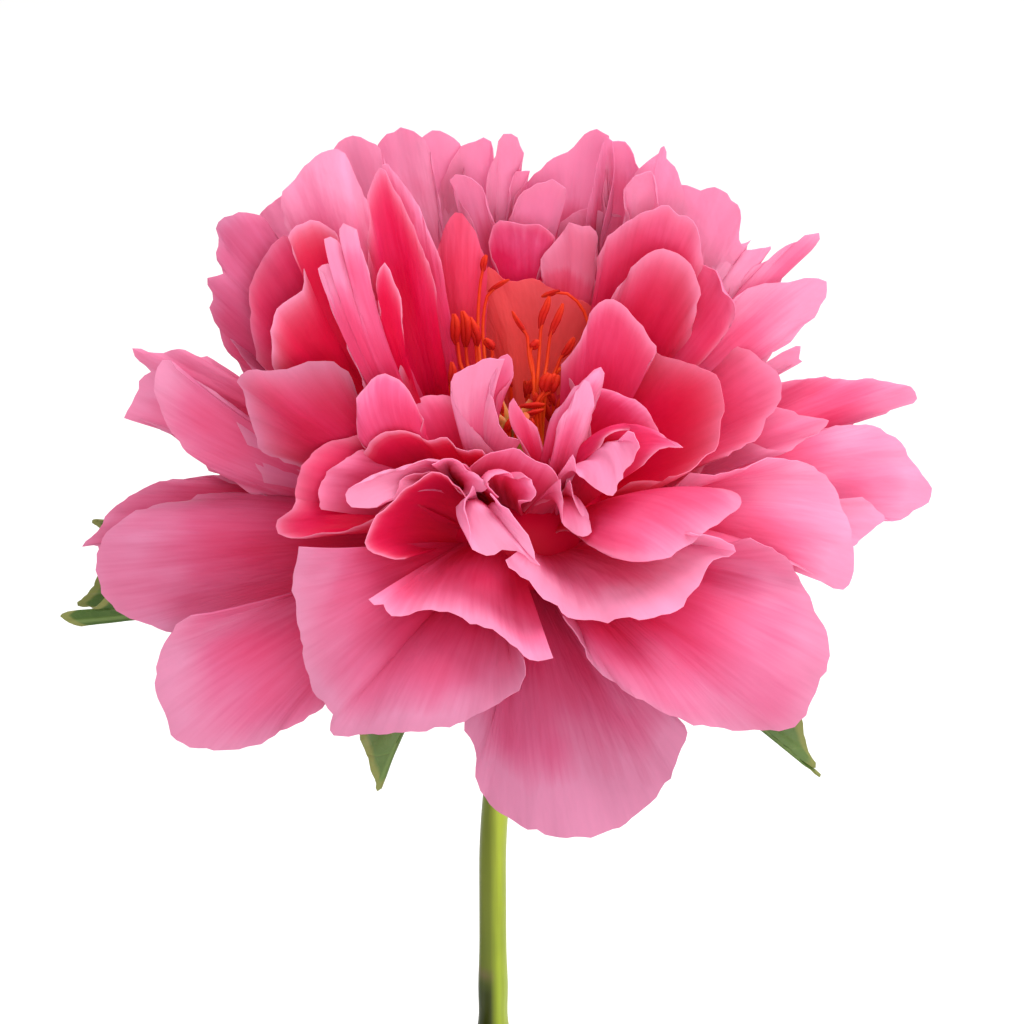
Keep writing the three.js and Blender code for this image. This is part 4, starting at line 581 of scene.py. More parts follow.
        (37.4, 48.4), (37, 44.4)],
    "pointRight": [
        (25.6, 60), (24.8, 66.4), (26.2, 69.2), (27.6, 70.8), (29.2, 71.4), (30, 73.4), (30.8, 72.4),
        (31, 70.8), (32.4, 69), (33.6, 66.4), (34.4, 63.4), (34.8, 58)],
    "backRight": [
        (29.6, 57), (30.4, 62.8), (32, 64.8), (33.8, 65.4), (36, 65), (38, 64.6), (40.2, 65), (42.4, 64.4),
        (44, 62.6), (45.4, 60.4), (45.8, 58), (45.4, 55.4), (45.8, 52.4), (44.6, 47.4)],
    "tabRight": [
        (48, 28), (50.6, 29.6), (51.8, 30.6), (53, 30.8), (54.2, 31.4), (55.2, 32.4), (56.2, 33),
        (57.6, 33.2), (57.4, 32), (57.2, 30.8), (58, 30.2), (56.6, 29.8), (54.6, 29.2), (53, 28.4),
        (51.2, 26.8)],
    "tipRight": [
        (45.2, 44), (46.8, 47.2), (49.6, 50), (51.4, 51.8), (52.2, 53.1), (50.6, 53), (49, 52.6),
        (47.6, 52.2), (46, 50.8), (43.6, 48.4), (40.8, 45.4)],
    "sliverRight": [
        (43.2, 42.4), (44.6, 47.2), (45.6, 49.4), (46.4, 51.4), (47.2, 52.8), (48.2, 54.3), (47, 54.2),
        (45.8, 53.8), (44.2, 53.2), (42, 51.2), (39.2, 48)],
    "fingersRight": [
        (51.2, 42.4), (53.4, 45.8), (54.6, 47.2), (55.6, 48.8), (56.8, 50.6), (57.8, 51.4), (59.2, 52),
        (60.6, 53), (61.4, 54.4), (61.6, 56), (60.6, 55.6), (59.6, 55.4), (58.8, 55.4), (57.2, 54.4),
        (55.2, 53.4), (53.2, 52.4), (50.6, 50.4), (47.6, 48), (44.2, 44.4)],
    "paddleRight": [
        (42, 38.8), (44.6, 42.4), (47.6, 44.6), (50.6, 45.8), (53.4, 46), (55.6, 46), (57.6, 46.4),
        (59.2, 46.8), (60.6, 47), (62, 46.6), (63, 45.6), (63.2, 44.4), (62.6, 42.8), (61.8, 41),
        (60.8, 39.4), (59.2, 37.6), (57.6, 36), (55.6, 34.8), (54.2, 33.8), (52.8, 32.6), (51.8, 31),
        (49.6, 29.2)],
    "paleTop": [
        (24, 56), (23, 61.4), (22.6, 64.4), (23.4, 66.4), (24.8, 67.8), (26.6, 68.4), (28.2, 68),
        (28.8, 66.4), (28.6, 63.6), (28.2, 61), (26.6, 57.4)],
    "ridgeTop": [
        (-1.4, 52), (-1.2, 57.4), (0.4, 62.4), (1.8, 64.6), (3.6, 66.6), (5.6, 68.8), (8.8, 70.8),
        (12.2, 72.8), (14, 74.8), (15.4, 76.4), (16.6, 77), (18, 76.4), (19.2, 75), (19.8, 72.4), (20, 67.4),
        (19.6, 61.4), (18.8, 54.4)],
    "ridgeTopB": [
        (17.6, 54.4), (18.4, 61.4), (18.8, 67.4), (19, 72.4), (19.8, 74.6), (21.2, 75), (22.6, 74),
        (23.8, 72.4), (24.4, 70.4), (25.4, 68.4), (26, 64.4), (25.6, 59.4), (24.4, 54.4)],
    "ridgeFold": [
        (16, 42.4), (14.8, 54.4), (15.4, 60), (16.2, 64.4), (17, 68.8), (17.8, 72.4), (19, 75), (20, 72.4),
        (20.2, 68), (19.6, 63.4), (18.4, 59.4), (17.6, 55.2), (18, 42.4)],
    "paleBack": [
        (9.6, 22.4), (7.4, 42.4), (5.8, 47.4), (5.8, 50), (7.2, 52.4), (9.4, 54.8), (11, 56.6), (11.6, 58.2),
        (12.8, 58), (14.4, 57.2), (16, 56.8), (17.2, 55.6), (16.8, 53.2), (16.2, 50), (16.6, 46.4),
        (17.6, 43.2), (18.4, 41.8), (15.6, 22.4)],
    "scallop": [
        (-1, 32.4), (-3.2, 48), (-4.8, 52.8), (-4.2, 56), (-3, 57.4), (-1.6, 57.8), (0, 58.2), (1.6, 57.6),
        (3.8, 57.6), (5.6, 57.4), (7.4, 56.8), (8.6, 55.6), (8.4, 54.2), (7.2, 52.6), (5.8, 50), (4.4, 45.4),
        (1.8, 32.4)],
    "spoon": [
        (0, 32.4), (-1.8, 50), (-1.4, 56), (-0.4, 60), (1.2, 63), (3.2, 64.8), (5, 65.7), (6.8, 66.1),
        (8.8, 66), (9.6, 65.5), (10.6, 65.6), (11.2, 64.4), (10.6, 62.8), (9.8, 61.2), (8.8, 59.4),
        (7.4, 57.2), (5.8, 53.4), (3.4, 32.4)],
    "horn": [
        (-1.4, 57), (-0.4, 64.4), (1, 67.4), (3.4, 68.4), (2.4, 66.2), (1.2, 63.4), (0.4, 57)],
    "fingerTop": [
        (-3.4, 54), (-4.6, 60), (-5, 64), (-4.4, 67.6), (-3.4, 70.8), (-3, 73.8), (-2.4, 75), (-1, 75.6),
        (0.8, 75.4), (1.4, 74), (1.4, 71.4), (1, 68.8), (0.2, 65.6), (-0.6, 61.4), (-0.8, 54.4)],
    "shardTop": [
        (-16, 53.4), (-15.2, 61.4), (-13.6, 67.4), (-12, 70.8), (-10.2, 72.6), (-8.8, 73.4), (-7.4, 74.2),
        (-5.8, 74.6), (-4.4, 74), (-3.8, 72.4), (-3.2, 69.8), (-2.4, 65.4), (-2, 59.4), (-2.4, 53.4)],
    "palmTop": [
        (-2.4, 32.4), (-5.2, 49.6), (-6.8, 54.6), (-8.4, 59), (-10.6, 61.8), (-12.2, 64.4), (-12.6, 66.2),
        (-11.2, 67.2), (-9.2, 67.2), (-7.6, 66.6), (-6, 64.6), (-4.6, 61.6), (-3, 57.4), (-1, 32.4)],
    "crownTop": [
        (-27.6, 54.4), (-27.6, 64.4), (-27.2, 69.4), (-26.8, 72.8), (-25.8, 75.2), (-24.2, 76.4), (-22.4, 77),
        (-21.2, 77), (-20.6, 76.2), (-19.8, 76.6), (-18.4, 75.6), (-16.8, 73.2), (-16, 68.8), (-15.2, 62.4),
        (-14.8, 54.4)],
    "crownTopB": [
        (-20, 54.4), (-19.6, 64.4), (-19.2, 70.4), (-18.8, 74), (-17.8, 75.6), (-15.8, 76), (-13.4, 75.8),
        (-11.4, 74.6), (-10.2, 73), (-9.6, 70.4), (-9.2, 65.4), (-8.8, 59.4), (-9.2, 53.4)],
    "crownLeft": [
        (-37.2, 55.4), (-37.2, 62.4), (-36.4, 68.4), (-35.6, 72.4), (-34.6, 74), (-33.2, 74.6), (-31, 74.8),
        (-28.6, 74.2), (-26.8, 73.4), (-25.8, 70.8), (-24.8, 66.4), (-24, 60.4), (-24, 55.4)],
    "earBehind": [
        (-50, 48), (-50.8, 56.4), (-50, 60), (-48.2, 62), (-45.8, 63.6), (-42.4, 65.4), (-38.4, 64.4)],
    "domeLeft": [
        (-45, 56.4), (-45.8, 61.6), (-45.4, 64), (-44.2, 66), (-42.4, 68.2), (-40.4, 70.2), (-38.4, 72),
        (-37, 72.4), (-35.8, 71.8), (-34.8, 72.2), (-33.4, 70.8), (-32, 68.4), (-31, 66.2), (-29.8, 64.2),
        (-28.6, 62.2), (-28.2, 60.4), (-28.6, 57.6), (-29.6, 54.4)],
    "earLeft": [
        (-51.4, 24.4), (-53.8, 27.8), (-56, 31.4), (-58, 34.8), (-59.8, 38), (-60.4, 41), (-60, 43),
        (-60.8, 45.2), (-60.8, 46.6), (-59.4, 47.4), (-57.6, 47.8), (-58.6, 49.6), (-59.2, 51.2),
        (-58.8, 54.4), (-59.2, 56.6), (-58.4, 58.4), (-56.4, 59.6), (-53.4, 59.8), (-51, 59.6), (-48.4, 57.4),
        (-46.4, 52.4)],
    "earLeftLow": [
        (-49, 24), (-52.4, 29), (-55.6, 34), (-58, 39), (-58.6, 43), (-57.6, 45.6), (-55, 46), (-50, 43)],
    "bandLeft": [
        (-47.4, 25.4), (-50, 28.4), (-51.6, 33.4), (-52.4, 38.8), (-52.6, 42.8), (-51.8, 47.2), (-49.8, 50.4),
        (-48.4, 53.2), (-46.8, 55), (-44.4, 54.8), (-42.4, 52.4), (-41.4, 47.4)],
    "cupDark": [
        (-46.8, 25.4), (-47.6, 29.4), (-48.2, 33.4), (-48, 37.4), (-47.2, 40.2), (-45.4, 41.8), (-43.4, 43.2),
        (-42, 45), (-41.8, 47.8), (-42.8, 50.2), (-44.2, 52.8), (-44.8, 55), (-43.8, 56.8), (-41.8, 58),
        (-39.6, 58.2), (-37.2, 57.4), (-35.2, 55.4), (-33.4, 50.4), (-32, 42.4), (-31.4, 32.4)],
    "fingersLeft": [
        (-30, 25.4), (-31.2, 30), (-32.8, 34.2), (-34.4, 38.4), (-36, 42.4), (-36.8, 45.4), (-37, 46.8),
        (-38.4, 48.2), (-39, 49.2), (-37.6, 49.8), (-36.2, 49.2), (-35, 47.8), (-35.4, 50), (-36.6, 52.4),
        (-37.4, 54.6), (-36.4, 55.2), (-34.8, 54.2), (-33.4, 52.2), (-32.6, 50.4), (-33.2, 53.4), (-34.2, 56),
        (-34.2, 57.4), (-32.8, 57.8), (-31.4, 56.8), (-30.4, 54.4), (-29.2, 51.2), (-28.6, 47.4), (-28, 42.4),
        (-27.4, 36.4), (-27.2, 30.4), (-26.8, 25.4)],
    "bladeLeft": [
        (-24.8, 22), (-25.6, 30.4), (-26.4, 36.4), (-26.8, 42.4), (-26.6, 46.8), (-25.8, 50), (-24.6, 48.6),
        (-23.4, 45.6), (-22.2, 42.8), (-22, 38.4), (-22, 33.4), (-22.6, 28.4), (-23, 22)],
    "sailLeft": [
        (-29.2, 36.4), (-28.8, 44), (-28.8, 52.4), (-28.8, 59.4), (-28.6, 64.4), (-27.8, 66.4), (-26.2, 68.8),
        (-24.4, 66.4), (-22.6, 63.2), (-21, 60), (-19.4, 56), (-17.6, 52), (-16.2, 47.4), (-15.6, 42.4),
        (-15.6, 38), (-16.4, 33.4), (-17.6, 28)],
    "sailLeftB": [
        (-27.2, 58.4), (-27.2, 63.2), (-26.4, 67.2), (-25.4, 70), (-23.8, 68.4), (-22, 66), (-19.8, 63),
        (-18, 59.2), (-16.2, 55.2), (-14.6, 50.8), (-13.4, 45.6), (-12.8, 40.8), (-12.8, 36.8), (-13.4, 32),
        (-14.8, 27.4)],
    "wallBack": [
        (1.6, 16.4), (-5.6, 26.4), (-6.8, 36.4), (-6.6, 43.4), (-5.6, 48.8), (-4, 48.6), (-2.6, 47.4),
        (-1.2, 46.6), (0.6, 46.2), (2.4, 46.4), (4, 46.8), (5.4, 46.6), (6.4, 45.8), (7.6, 44.8), (9.2, 44),
        (12, 43), (14.8, 41.8), (16.8, 40), (16.4, 34.4), (13.6, 24.4), (7.6, 16.4)],
    "wallBackLeft": [
        (-4.4, 16.4), (-12.4, 22.4), (-15.2, 34.4), (-15.4, 44.4), (-14.8, 52.4), (-13.4, 57.2),
        (-11.4, 59.8), (-9.4, 59), (-7.6, 56), (-6.2, 52.8), (-5, 50), (-4.8, 47.2), (-5.4, 42.4),
        (-5.6, 32.4), (-3.6, 18.4)],
    "wallBackRight": [
        (9.6, 38.4), (8.8, 46.4), (8.8, 53.4), (10.4, 58), (13.6, 60), (17.6, 60.4), (21.2, 59.6),
        (23.6, 56.8), (24.4, 51.4), (23.2, 44.4), (20.6, 38.8)],
}

# Petals that fill out the back of the bloom, in rings, each with one edge over its neighbour.
backRings = [
    {"ring": 0, "count": 5, "from": 24, "to": 156, "half": 25,
     "reach": 72, "tip": -12, "belly": -4, "cup": 2},
    {"ring": 1, "count": 4, "from": 40, "to": 140, "half": 24,
     "reach": 64, "tip": 8, "belly": 4, "cup": 3},
    {"ring": 2, "count": 4, "from": 48, "to": 132, "half": 21,
     "reach": 51, "tip": 42, "belly": 17, "cup": 5},
]


def petalAt(name, ring, spots, form):
    points = dict(zip(("middle", "tip", "left", "right"), [place(spot) for spot in spots]))
    return {**petalShape, "name": name, "ring": ring, "spots": spots, **points, **form}


def backPetals():
    following = draw(11)
    made = []
    for row in backRings:
        rootRadius, rootHeight = ringRoots[row["ring"]]
        for index in range(row["count"]):
            share = (index + 0.25 * (following() - 0.5)) / (row["count"] - 1)
            bearing = math.radians(row["from"] + (row["to"] - row["from"]) * share)
            reach = row["reach"] * (0.93 + 0.14 * following())
            root = around(bearing, rootRadius, rootHeight)
            middle = around(bearing, (reach + rootRadius) * 0.52, row["belly"] + 3 * following())
            tip = around(bearing, reach, row["tip"] + 7 * following())
            form = {"shoulder": 0.66, "blunt": 2.3, "deep": 0.1}
            broad = bezier(root, kneeFor(root, middle, tip), tip, form["shoulder"]) + [0, 0, row["cup"]]
            aside = around(bearing + math.pi / 2, row["half"], -meshSteps["lapUnder"])
            made.append({**petalShape, "name": "back", "ring": row["ring"], "middle": middle, "tip": tip,
                         "left": broad + aside, "right": broad - aside, **form})
    return made


def smoothLine(points, count):  # an evenly spaced curve through all the points, and how far along each lies
    points = np.asarray(points, float)
    gaps = np.linalg.norm(np.diff(points, axis=0), axis=1) ** 0.5
    knots = np.concatenate([[0], np.cumsum(gaps)])
    slopes = np.gradient(points, knots, axis=0)
    dense = np.linspace(0, knots[-1], len(points) * 14)
    at = np.clip(np.searchsorted(knots, dense, "right") - 1, 0, len(points) - 2)
    span, u = gaps[at][:, None], ((dense - knots[at]) / gaps[at])[:, None]
    line = (1 + 2 * u) * (1 - u) ** 2 * points[at] + u * (1 - u) ** 2 * span * slopes[at]
    line = line + u * u * (3 - 2 * u) * points[at + 1] + u * u * (u - 1) * span * slopes[at + 1]
    far = np.concatenate([[0], np.cumsum(np.linalg.norm(np.diff(line, axis=0), axis=1))])
    even = np.linspace(0, far[-1], count)
    return np.stack([np.interp(even, far, line[:, axis]) for axis in range(line.shape[1])], 1), even


def skinFacts(petal, index, along, across, margin, aside, down):  # what the petal's finish reads
    facts = {key: np.full_like(along, petal[key]) for key in ("deep", "warm", "light", "dusk")}
    return {**facts, "along": along, "across": across, "margin": petal["pale"] * margin,
            "place": np.stack([aside, down, np.full_like(along, index * 7.3)], -1)}


def fanSheet(petal, index):  # a petal whose ribs run from the claw to a drawn margin
    drawn, known = np.array(margins[petal["name"]], float), np.array(petal["spots"], float)
    length = np.linalg.norm(np.diff(drawn, axis=0), axis=1).sum()
    columns = int(np.clip(length / meshSteps["ribs"], 26, 88))
    line, arc = smoothLine(drawn, columns + 1)
    # each point of the margin lies as far back as the known points near it
    extent = np.linalg.norm(known[1:, :2] - known[0, :2], axis=1).max()
    share = 1 / (((line[:, None, :] - known[None, :, :2]) ** 2).sum(2) + (0.35 * extent) ** 2)
    behind = (share * known[:, 2]).sum(1) / share.sum(1)
    rim = np.array([place((*spot, back)) for spot, back in zip(line, behind)])
    if (rim[-1] - rim[0]).dot(petal["right"] - petal["left"]) < 0:
        rim = rim[::-1]
    middle, tip = petal["middle"], petal["tip"]
    nick = petal["nick"] * (wobble(arc * 0.9, index, (1, 1.7, 2.3)) + 0.5 * wobble(arc * 5.3, index + 2))
    rim = rim + unit(rim - middle) * nick[:, None]
    root = around(bearingOf(middle), *petal.get("root", ringRoots[petal["ring"]]))
    spine = tip - root
    aside = rim[-1] - rim[0]
    aside = unit(aside - spine * aside.dot(spine) / spine.dot(spine))
    s = np.linspace(-1, 1, columns + 1)
    base = root + np.outer(s * petal["claw"], aside)
    reach = np.linalg.norm(rim - base, axis=1)
    rows = int(np.clip(reach.max() / meshSteps["rows"], 14, 38))
    t = np.linspace(0, 1, rows + 1)[:, None] ** 0.9
    # the belly bends each rib: in full towards the eye, and as far sideways as bow says
    belly = middle - (root + tip) / 2
    tilt = math.radians(sight["tilt"])
    towards = np.array([0, -math.cos(tilt), math.sin(tilt)])
    inSight = towards * belly.dot(towards)
    belly = inSight + petal.get("bow", 1.0 if petal["ring"] > 2 else 0.35) * (belly - inSight)
    weight = np.convolve(np.pad(reach, 6, "edge"), np.full(13, 1 / 13), "valid") / np.linalg.norm(spine)
    weight = weight / (1 + (weight / 1.25) ** 4) ** 0.25 * (1 - petal["flatSides"] * s * s)
    half = (base + rim) / 2 + np.outer(weight, belly)
    points = bezier(base, kneeFor(base, half, rim), rim, t)
    inside, down, arcs = (1 - t) * reach, t * reach, arc + 0 * t
    frill = 0.8 * np.sin(arcs * 0.83 + index * 1.7)
    frill += 0.6 * np.sin(arcs * 1.9 + index * 3.1) * (0.5 + 0.5 * wobble(arcs * 0.4, index))
    ruffle = petal["ruffle"] * min(1.2, 0.35 + reach.max() / 60)
    push = ruffle * (1.3 * t ** 5 * np.sin(arcs * 0.36 + index * 2.4) + t ** 9 * frill)
    pleats = petal["pleat"] * min(1, reach.max() / 40) * wobble(arcs * 0.9, index + 3, (1, 1.9, 3.3))
    push += pleats * t ** 1.6 * (1 - t ** 12)
    crease = wobble(arcs * 1.1 + 0.5 * wobble(down * 0.35, index), index + 5, (1, 2.1))
    push += petal["crease"] * crease * wobble(down * 0.5, index + 9) * t
    hem = petal.get("hem", 0.25 * math.sin(index * 1.9))
    push += hem * np.exp(-inside / 1.6) + petal["curl"] * (t ** 4 - t)
    points = points + normalsOf(points) * push[..., None]
    along = t * (0.45 + 0.55 * reach / reach.max())
    thick = petal["baseThick"] + (petal["tipThick"] - petal["baseThick"]) * t
    thick = thick + (petal["rimThick"] - thick) * np.exp(-inside / 0.7)
    margin = np.exp(-inside / petal["rim"])
    return points, thick, skinFacts(petal, index, along, s + 0 * t, margin, arcs, down)


def spineSheet(petal, index):  # a petal without a drawn margin, spread from its spine to its two edges
    middle, tip, shoulder, blunt = petal["middle"], petal["tip"], petal["shoulder"], petal["blunt"]
    size = np.linalg.norm(tip - middle) + np.linalg.norm(petal["left"] - petal["right"])
    rows, columns = (40, 36) if size > 84 else (32, 28) if size > 50 else (26, 22) if size > 26 else (20, 16)
    root = around(bearingOf(middle), *ringRoots[petal["ring"]])
    knee = kneeFor(root, middle, tip)
    broad = bezier(root, knee, tip, shoulder)
    toLeft, toRight = petal["left"] - broad, petal["right"] - broad
    width = max(np.linalg.norm(toLeft), np.linalg.norm(toRight))
    length = np.linalg.norm(np.diff(bezier(root, knee, tip, np.linspace(0, 1, 20)), axis=0), axis=1).sum()
    claw = petal["claw"] / width
    s = np.sin((np.arange(columns + 1) / columns - 0.5) * math.pi)[None, :]
    t = np.linspace(0, 1, rows + 1)[:, None]
    reach = shoulder + (1 - shoulder) * (1 - np.abs(s) ** blunt) ** (1 / blunt)
    reach = reach * (1 - petal["nick"] / length * (1 + wobble(s * 14, index, (1, 2.7, 5.9))) * (1 - s ** 8))
    along = t * reach
    opening = claw + (1 - claw) * np.sin(math.pi / 2 * np.minimum(along / shoulder, 1)) ** 2.3
    opening = opening * (1 + 0.02 * wobble(along * 14, index + 0.5) * np.abs(s) ** 3)
    points = bezier(root, knee, tip, along) + (opening * (s * s - s) / 2)[..., None] * toLeft
    points = points + (opening * (s * s + s) / 2)[..., None] * toRight
    edge = np.minimum((np.abs(s) ** 6 + t ** 6) ** (1 / 6), 1)
    turn = np.arctan2(s + 0 * t, along - 0.25)
    spread = min(width / 22, 1.2)
    frill = np.sin(6.7 * turn + index * 1.7) + 0.6 * np.sin(11.9 * turn + index * 3.1)
    wave = 0.8 * t * edge ** 4 * np.sin(3.3 * turn + index * 2.4)
    wave += petal["ruffle"] * (0.5 + 0.5 * spread) * t * edge ** 7 * frill
    wave += petal["pleat"] * spread * t * (1 - edge ** 10) * wobble(s * 7, index + 3, (1, 1.9, 3.3))
    points = points + normalsOf(points) * wave[..., None]
    thick = petal["baseThick"] + (petal["tipThick"] - petal["baseThick"]) * along
    thick = thick + (petal["rimThick"] - thick) * edge ** 16
    across, margin = s + 0 * t, np.exp((edge - 1) * length / petal["rim"])
    return points, thick, skinFacts(petal, index, along, across, margin, across * width, along * length)


def addPetalFinish():
    # Peony petal: a thin moist skin over air-filled cells, drawn out from the claw. To the eye it is matt and
    # lets nearly half of its light through, crimson at the claw and cooler and paler towards the margin.
    finish, tree = newFinish("petalSkin")
    along, deep, warm, light, under, margin, dusk = [
        addNode(tree, "ShaderNodeAttribute", {"attribute_name": name}).outputs["Fac"]
        for name in ("along", "deep", "warm", "light", "under", "margin", "dusk")]
    spot = addNode(tree, "ShaderNodeAttribute", {"attribute_name": "place"}).outputs["Vector"]
    # veins run lengthwise, 1 mm apart on a real petal and 1.6 mm here so that they show; the crinkles in
    # the skin are about 3 mm wide and 8 mm long
    vein, crinkle = [
        addNode(tree, "ShaderNodeTexNoise", {"Scale": 1.0, "Detail": 2.0, "Roughness": 0.6}, {
            "Vector": addNode(tree, "ShaderNodeVectorMath", {"operation": "MULTIPLY", 1: stretch}, {0: spot})})
        for stretch in ((0.62, 0.05, 1), (0.3, 0.13, 1))]
    cloud = addNode(tree, "ShaderNodeTexNoise", {"Scale": 0.06, "Detail": 1.0}, {"Vector": spot})
    shade = along
    for share, drift in ((0.16, vein), (0.5, cloud)):
        shift = addNode(tree, "ShaderNodeMath", {"operation": "MULTIPLY_ADD", 1: share, 2: -share / 2},
                        {0: drift})
        shade = addNode(tree, "ShaderNodeMath", {"operation": "ADD"}, {0: shade, 1: shift})
    # the petal's tint moves the colour paler or redder; besides its own tint it holds painted light on lit
    # petals and painted shade on shaded ones
    shade = addNode(tree, "ShaderNodeMath", {"operation": "ADD"}, {0: shade, 1: light})
    pale, crimson = [addNode(tree, "ShaderNodeValToRGB", {"stops": stops}, {0: shade}) for stops in (
        [(0.0, "#ee0838"), (0.3, "#f02a5c"), (0.55, "#f25488"), (0.8, "#f47eac"), (1.0, "#f8a8cc")],
        [(0.0, "#e40034"), (0.45, "#e6004a"), (0.75, "#ec2468"), (0.92, "#f25c96"), (1.0, "#f58cbc")])]
    colour = addNode(tree, "ShaderNodeMix", {"data_type": "RGBA"}, {0: deep, 6: pale, 7: crimson}).outputs[2]
    # the orange, partly the heart's own coral and partly a painted glow of light shining through, fades a
    # little towards the tip, and the back of a petal is paler, less so on a crimson one
    orangeAndGlowFading = addNode(tree, "ShaderNodeMapRange", {
        "From Min": 0.3, "From Max": 1.0, "To Min": 1.0, "To Max": 0.8}, {"Value": along})
    paler = addNode(tree, "ShaderNodeMath", {"operation": "MULTIPLY_ADD", 1: -0.3, 2: 0.35}, {0: deep})
    orangeAndGlowShare, back = [addNode(tree, "ShaderNodeMath", {"operation": "MULTIPLY"}, {0: a, 1: b})
                    for a, b in ((warm, orangeAndGlowFading), (under, paler))]
    for code, share in (("#fb5850", orangeAndGlowShare), ("#f080b4", back), ("#f6a6c8", margin)):
        colour = addNode(tree, "ShaderNodeMix", {"data_type": "RGBA", 7: linear(code)},
                         {0: share, 6: colour}).outputs[2]
    # painted shade: a grey multiplied in as far as the petal's share of painted shade says, darkening petals
    # that lie in shade
    colour = addNode(tree, "ShaderNodeMix", {
        "data_type": "RGBA", "blend_type": "MULTIPLY", 7: linear("#c6bec6")}, {0: dusk, 6: colour}).outputs[2]
    streak = addNode(tree, "ShaderNodeValToRGB", {"stops": [(0.3, 0.955), (0.5, 0.985), (0.7, 1.0)]},
                     {0: vein})
    colour = addNode(tree, "ShaderNodeMix", {"data_type": "RGBA", "blend_type": "MULTIPLY", 0: 1.0},
                     {6: colour, 7: streak}).outputs[2]
    relief = addNode(tree, "ShaderNodeBump", {"Strength": 0.55, "Distance": 0.0006}, {"Height": crinkle})
    skin = addNode(tree, "ShaderNodeBsdfPrincipled", {
        "Roughness": 0.55, "IOR": 1.4, "Specular IOR Level": 0.25}, {"Base Color": colour, "Normal": relief})
    through = addNode(tree, "ShaderNodeBsdfTranslucent", {}, {"Color": colour, "Normal": relief})
    mixed = addNode(tree, "ShaderNodeMixShader", {0: 0.42}, {1: skin, 2: through})
    addNode(tree, "ShaderNodeOutputMaterial", {}, {0: mixed})
    return finish


petalSkin = addPetalFinish()
allPetals = [petalAt(name, ring, spots, form) for name, ring, *spots, form in petalRows] + backPetals()
groups = {"guardPetals": [], "crownPetals": [], "innerPetals": []}
for index, petal in enumerate(allPetals):
    sheet = (fanSheet if petal["name"] in margins else spineSheet)(petal, index)
    groups[ringGroups[petal["ring"]]].append(shellOf(*sheet))
groups["innerPetals"].append(turnedOf(rounded(coreProfile, 2), 48, {"deep": 1, "along": 0.1}))
for name, parts in groups.items():
    makePiece(name, parts, petalSkin, "petals", heart)
print("petals:", len(allPetals))

# Stamens: those that the photograph shows stand one by one, and more of them fill the ring.
stamens = {
    "more": 22, "spread": 8, "leanBack": 4, "height": 15, "stalkRadius": 0.36, "antherRadius": 0.75,
    "antherLength": 3.6, "rootRadius": 6.1, "discOuter": 7.5, "discThick": 1.1, "goldenAngle": 2.39996,
}
# points of the stalk going up, the far end of the anther, and the radius of the anther
seenStamens = [
    ([(4.6, 25, 3), (3.4, 31, 6), (3, 35.4, 8)], (0, 40.2, 9), 0.55),
    ([(5, 25, 3), (5.4, 31, 7), (5.8, 36.6, 10)], (7.2, 43.2, 12), 0.75),
    ([(6.2, 25, 3), (7, 30, 7), (7.6, 35, 9)], (10, 41.8, 11), 0.7),
    ([(4.4, 25, 2), (4.2, 29, 5), (3.6, 33, 7)], (5.4, 34.2, 8), 1.0),
    ([(7, 25, 3), (8.6, 28, 6), (9.8, 31, 7)], (12.6, 34.8, 8), 0.75),
    ([(7.4, 26, 6), (14.6, 33, 12), (15.2, 38, 15), (12.6, 42.6, 16), (9.6, 44.2, 16)], (5.8, 43.2, 16), 0.6),
    ([(-6, 26, 6), (-6.8, 36, 13), (-6.6, 43, 17), (-6, 48, 19)], (-5, 51.4, 20), 0.65),
    ([(-5, 26, 8), (-5.8, 38, 15), (-4.6, 44, 18)], (-0.6, 46.6, 18), 0.5),
    ([(-9, 26, 2), (-10.4, 30, 4), (-10.8, 33.4, 5)], (-12, 39.6, 6), 1.0),
    ([(-8, 26, 3), (-9, 30, 6), (-9.2, 33, 7)], (-10, 40.2, 8), 1.1),
    ([(-6.4, 26, 3), (-7, 30, 6), (-7.2, 33.2, 7)], (-8.2, 39, 8), 1.0),
    ([(-3.4, 26, 3), (-4.4, 29, 5), (-3.8, 32.4, 6)], (-5.2, 34.8, 7), 1.0),
    ([(6, 23, 1), (7.6, 24, 2)], (9.2, 27.4, 3), 1.3),
    ([(5, 22, 0), (6.4, 24, 1)], (7.4, 27.8, 2), 1.1),
    ([(0, 20, -2), (1.6, 21, -2)], (6.6, 21.6, -1), 0.7),
    ([(0, 18, -2), (2.4, 19.4, -3)], (6.4, 20.6, -2), 0.6),
    ([(-11, 20, 0), (-12.4, 25, 1)], (-12, 30, 2), 0.8),
    ([(-9, 16, -2), (-11, 21, -1)], (-11.4, 26, 0), 0.7),
    ([(-7, 14, -2), (-9.4, 17, -2)], (-10.4, 22, -1), 0.7),
    ([(-4, 12, -3), (-6.6, 15, -4)], (-8, 19, -3), 0.7),
]


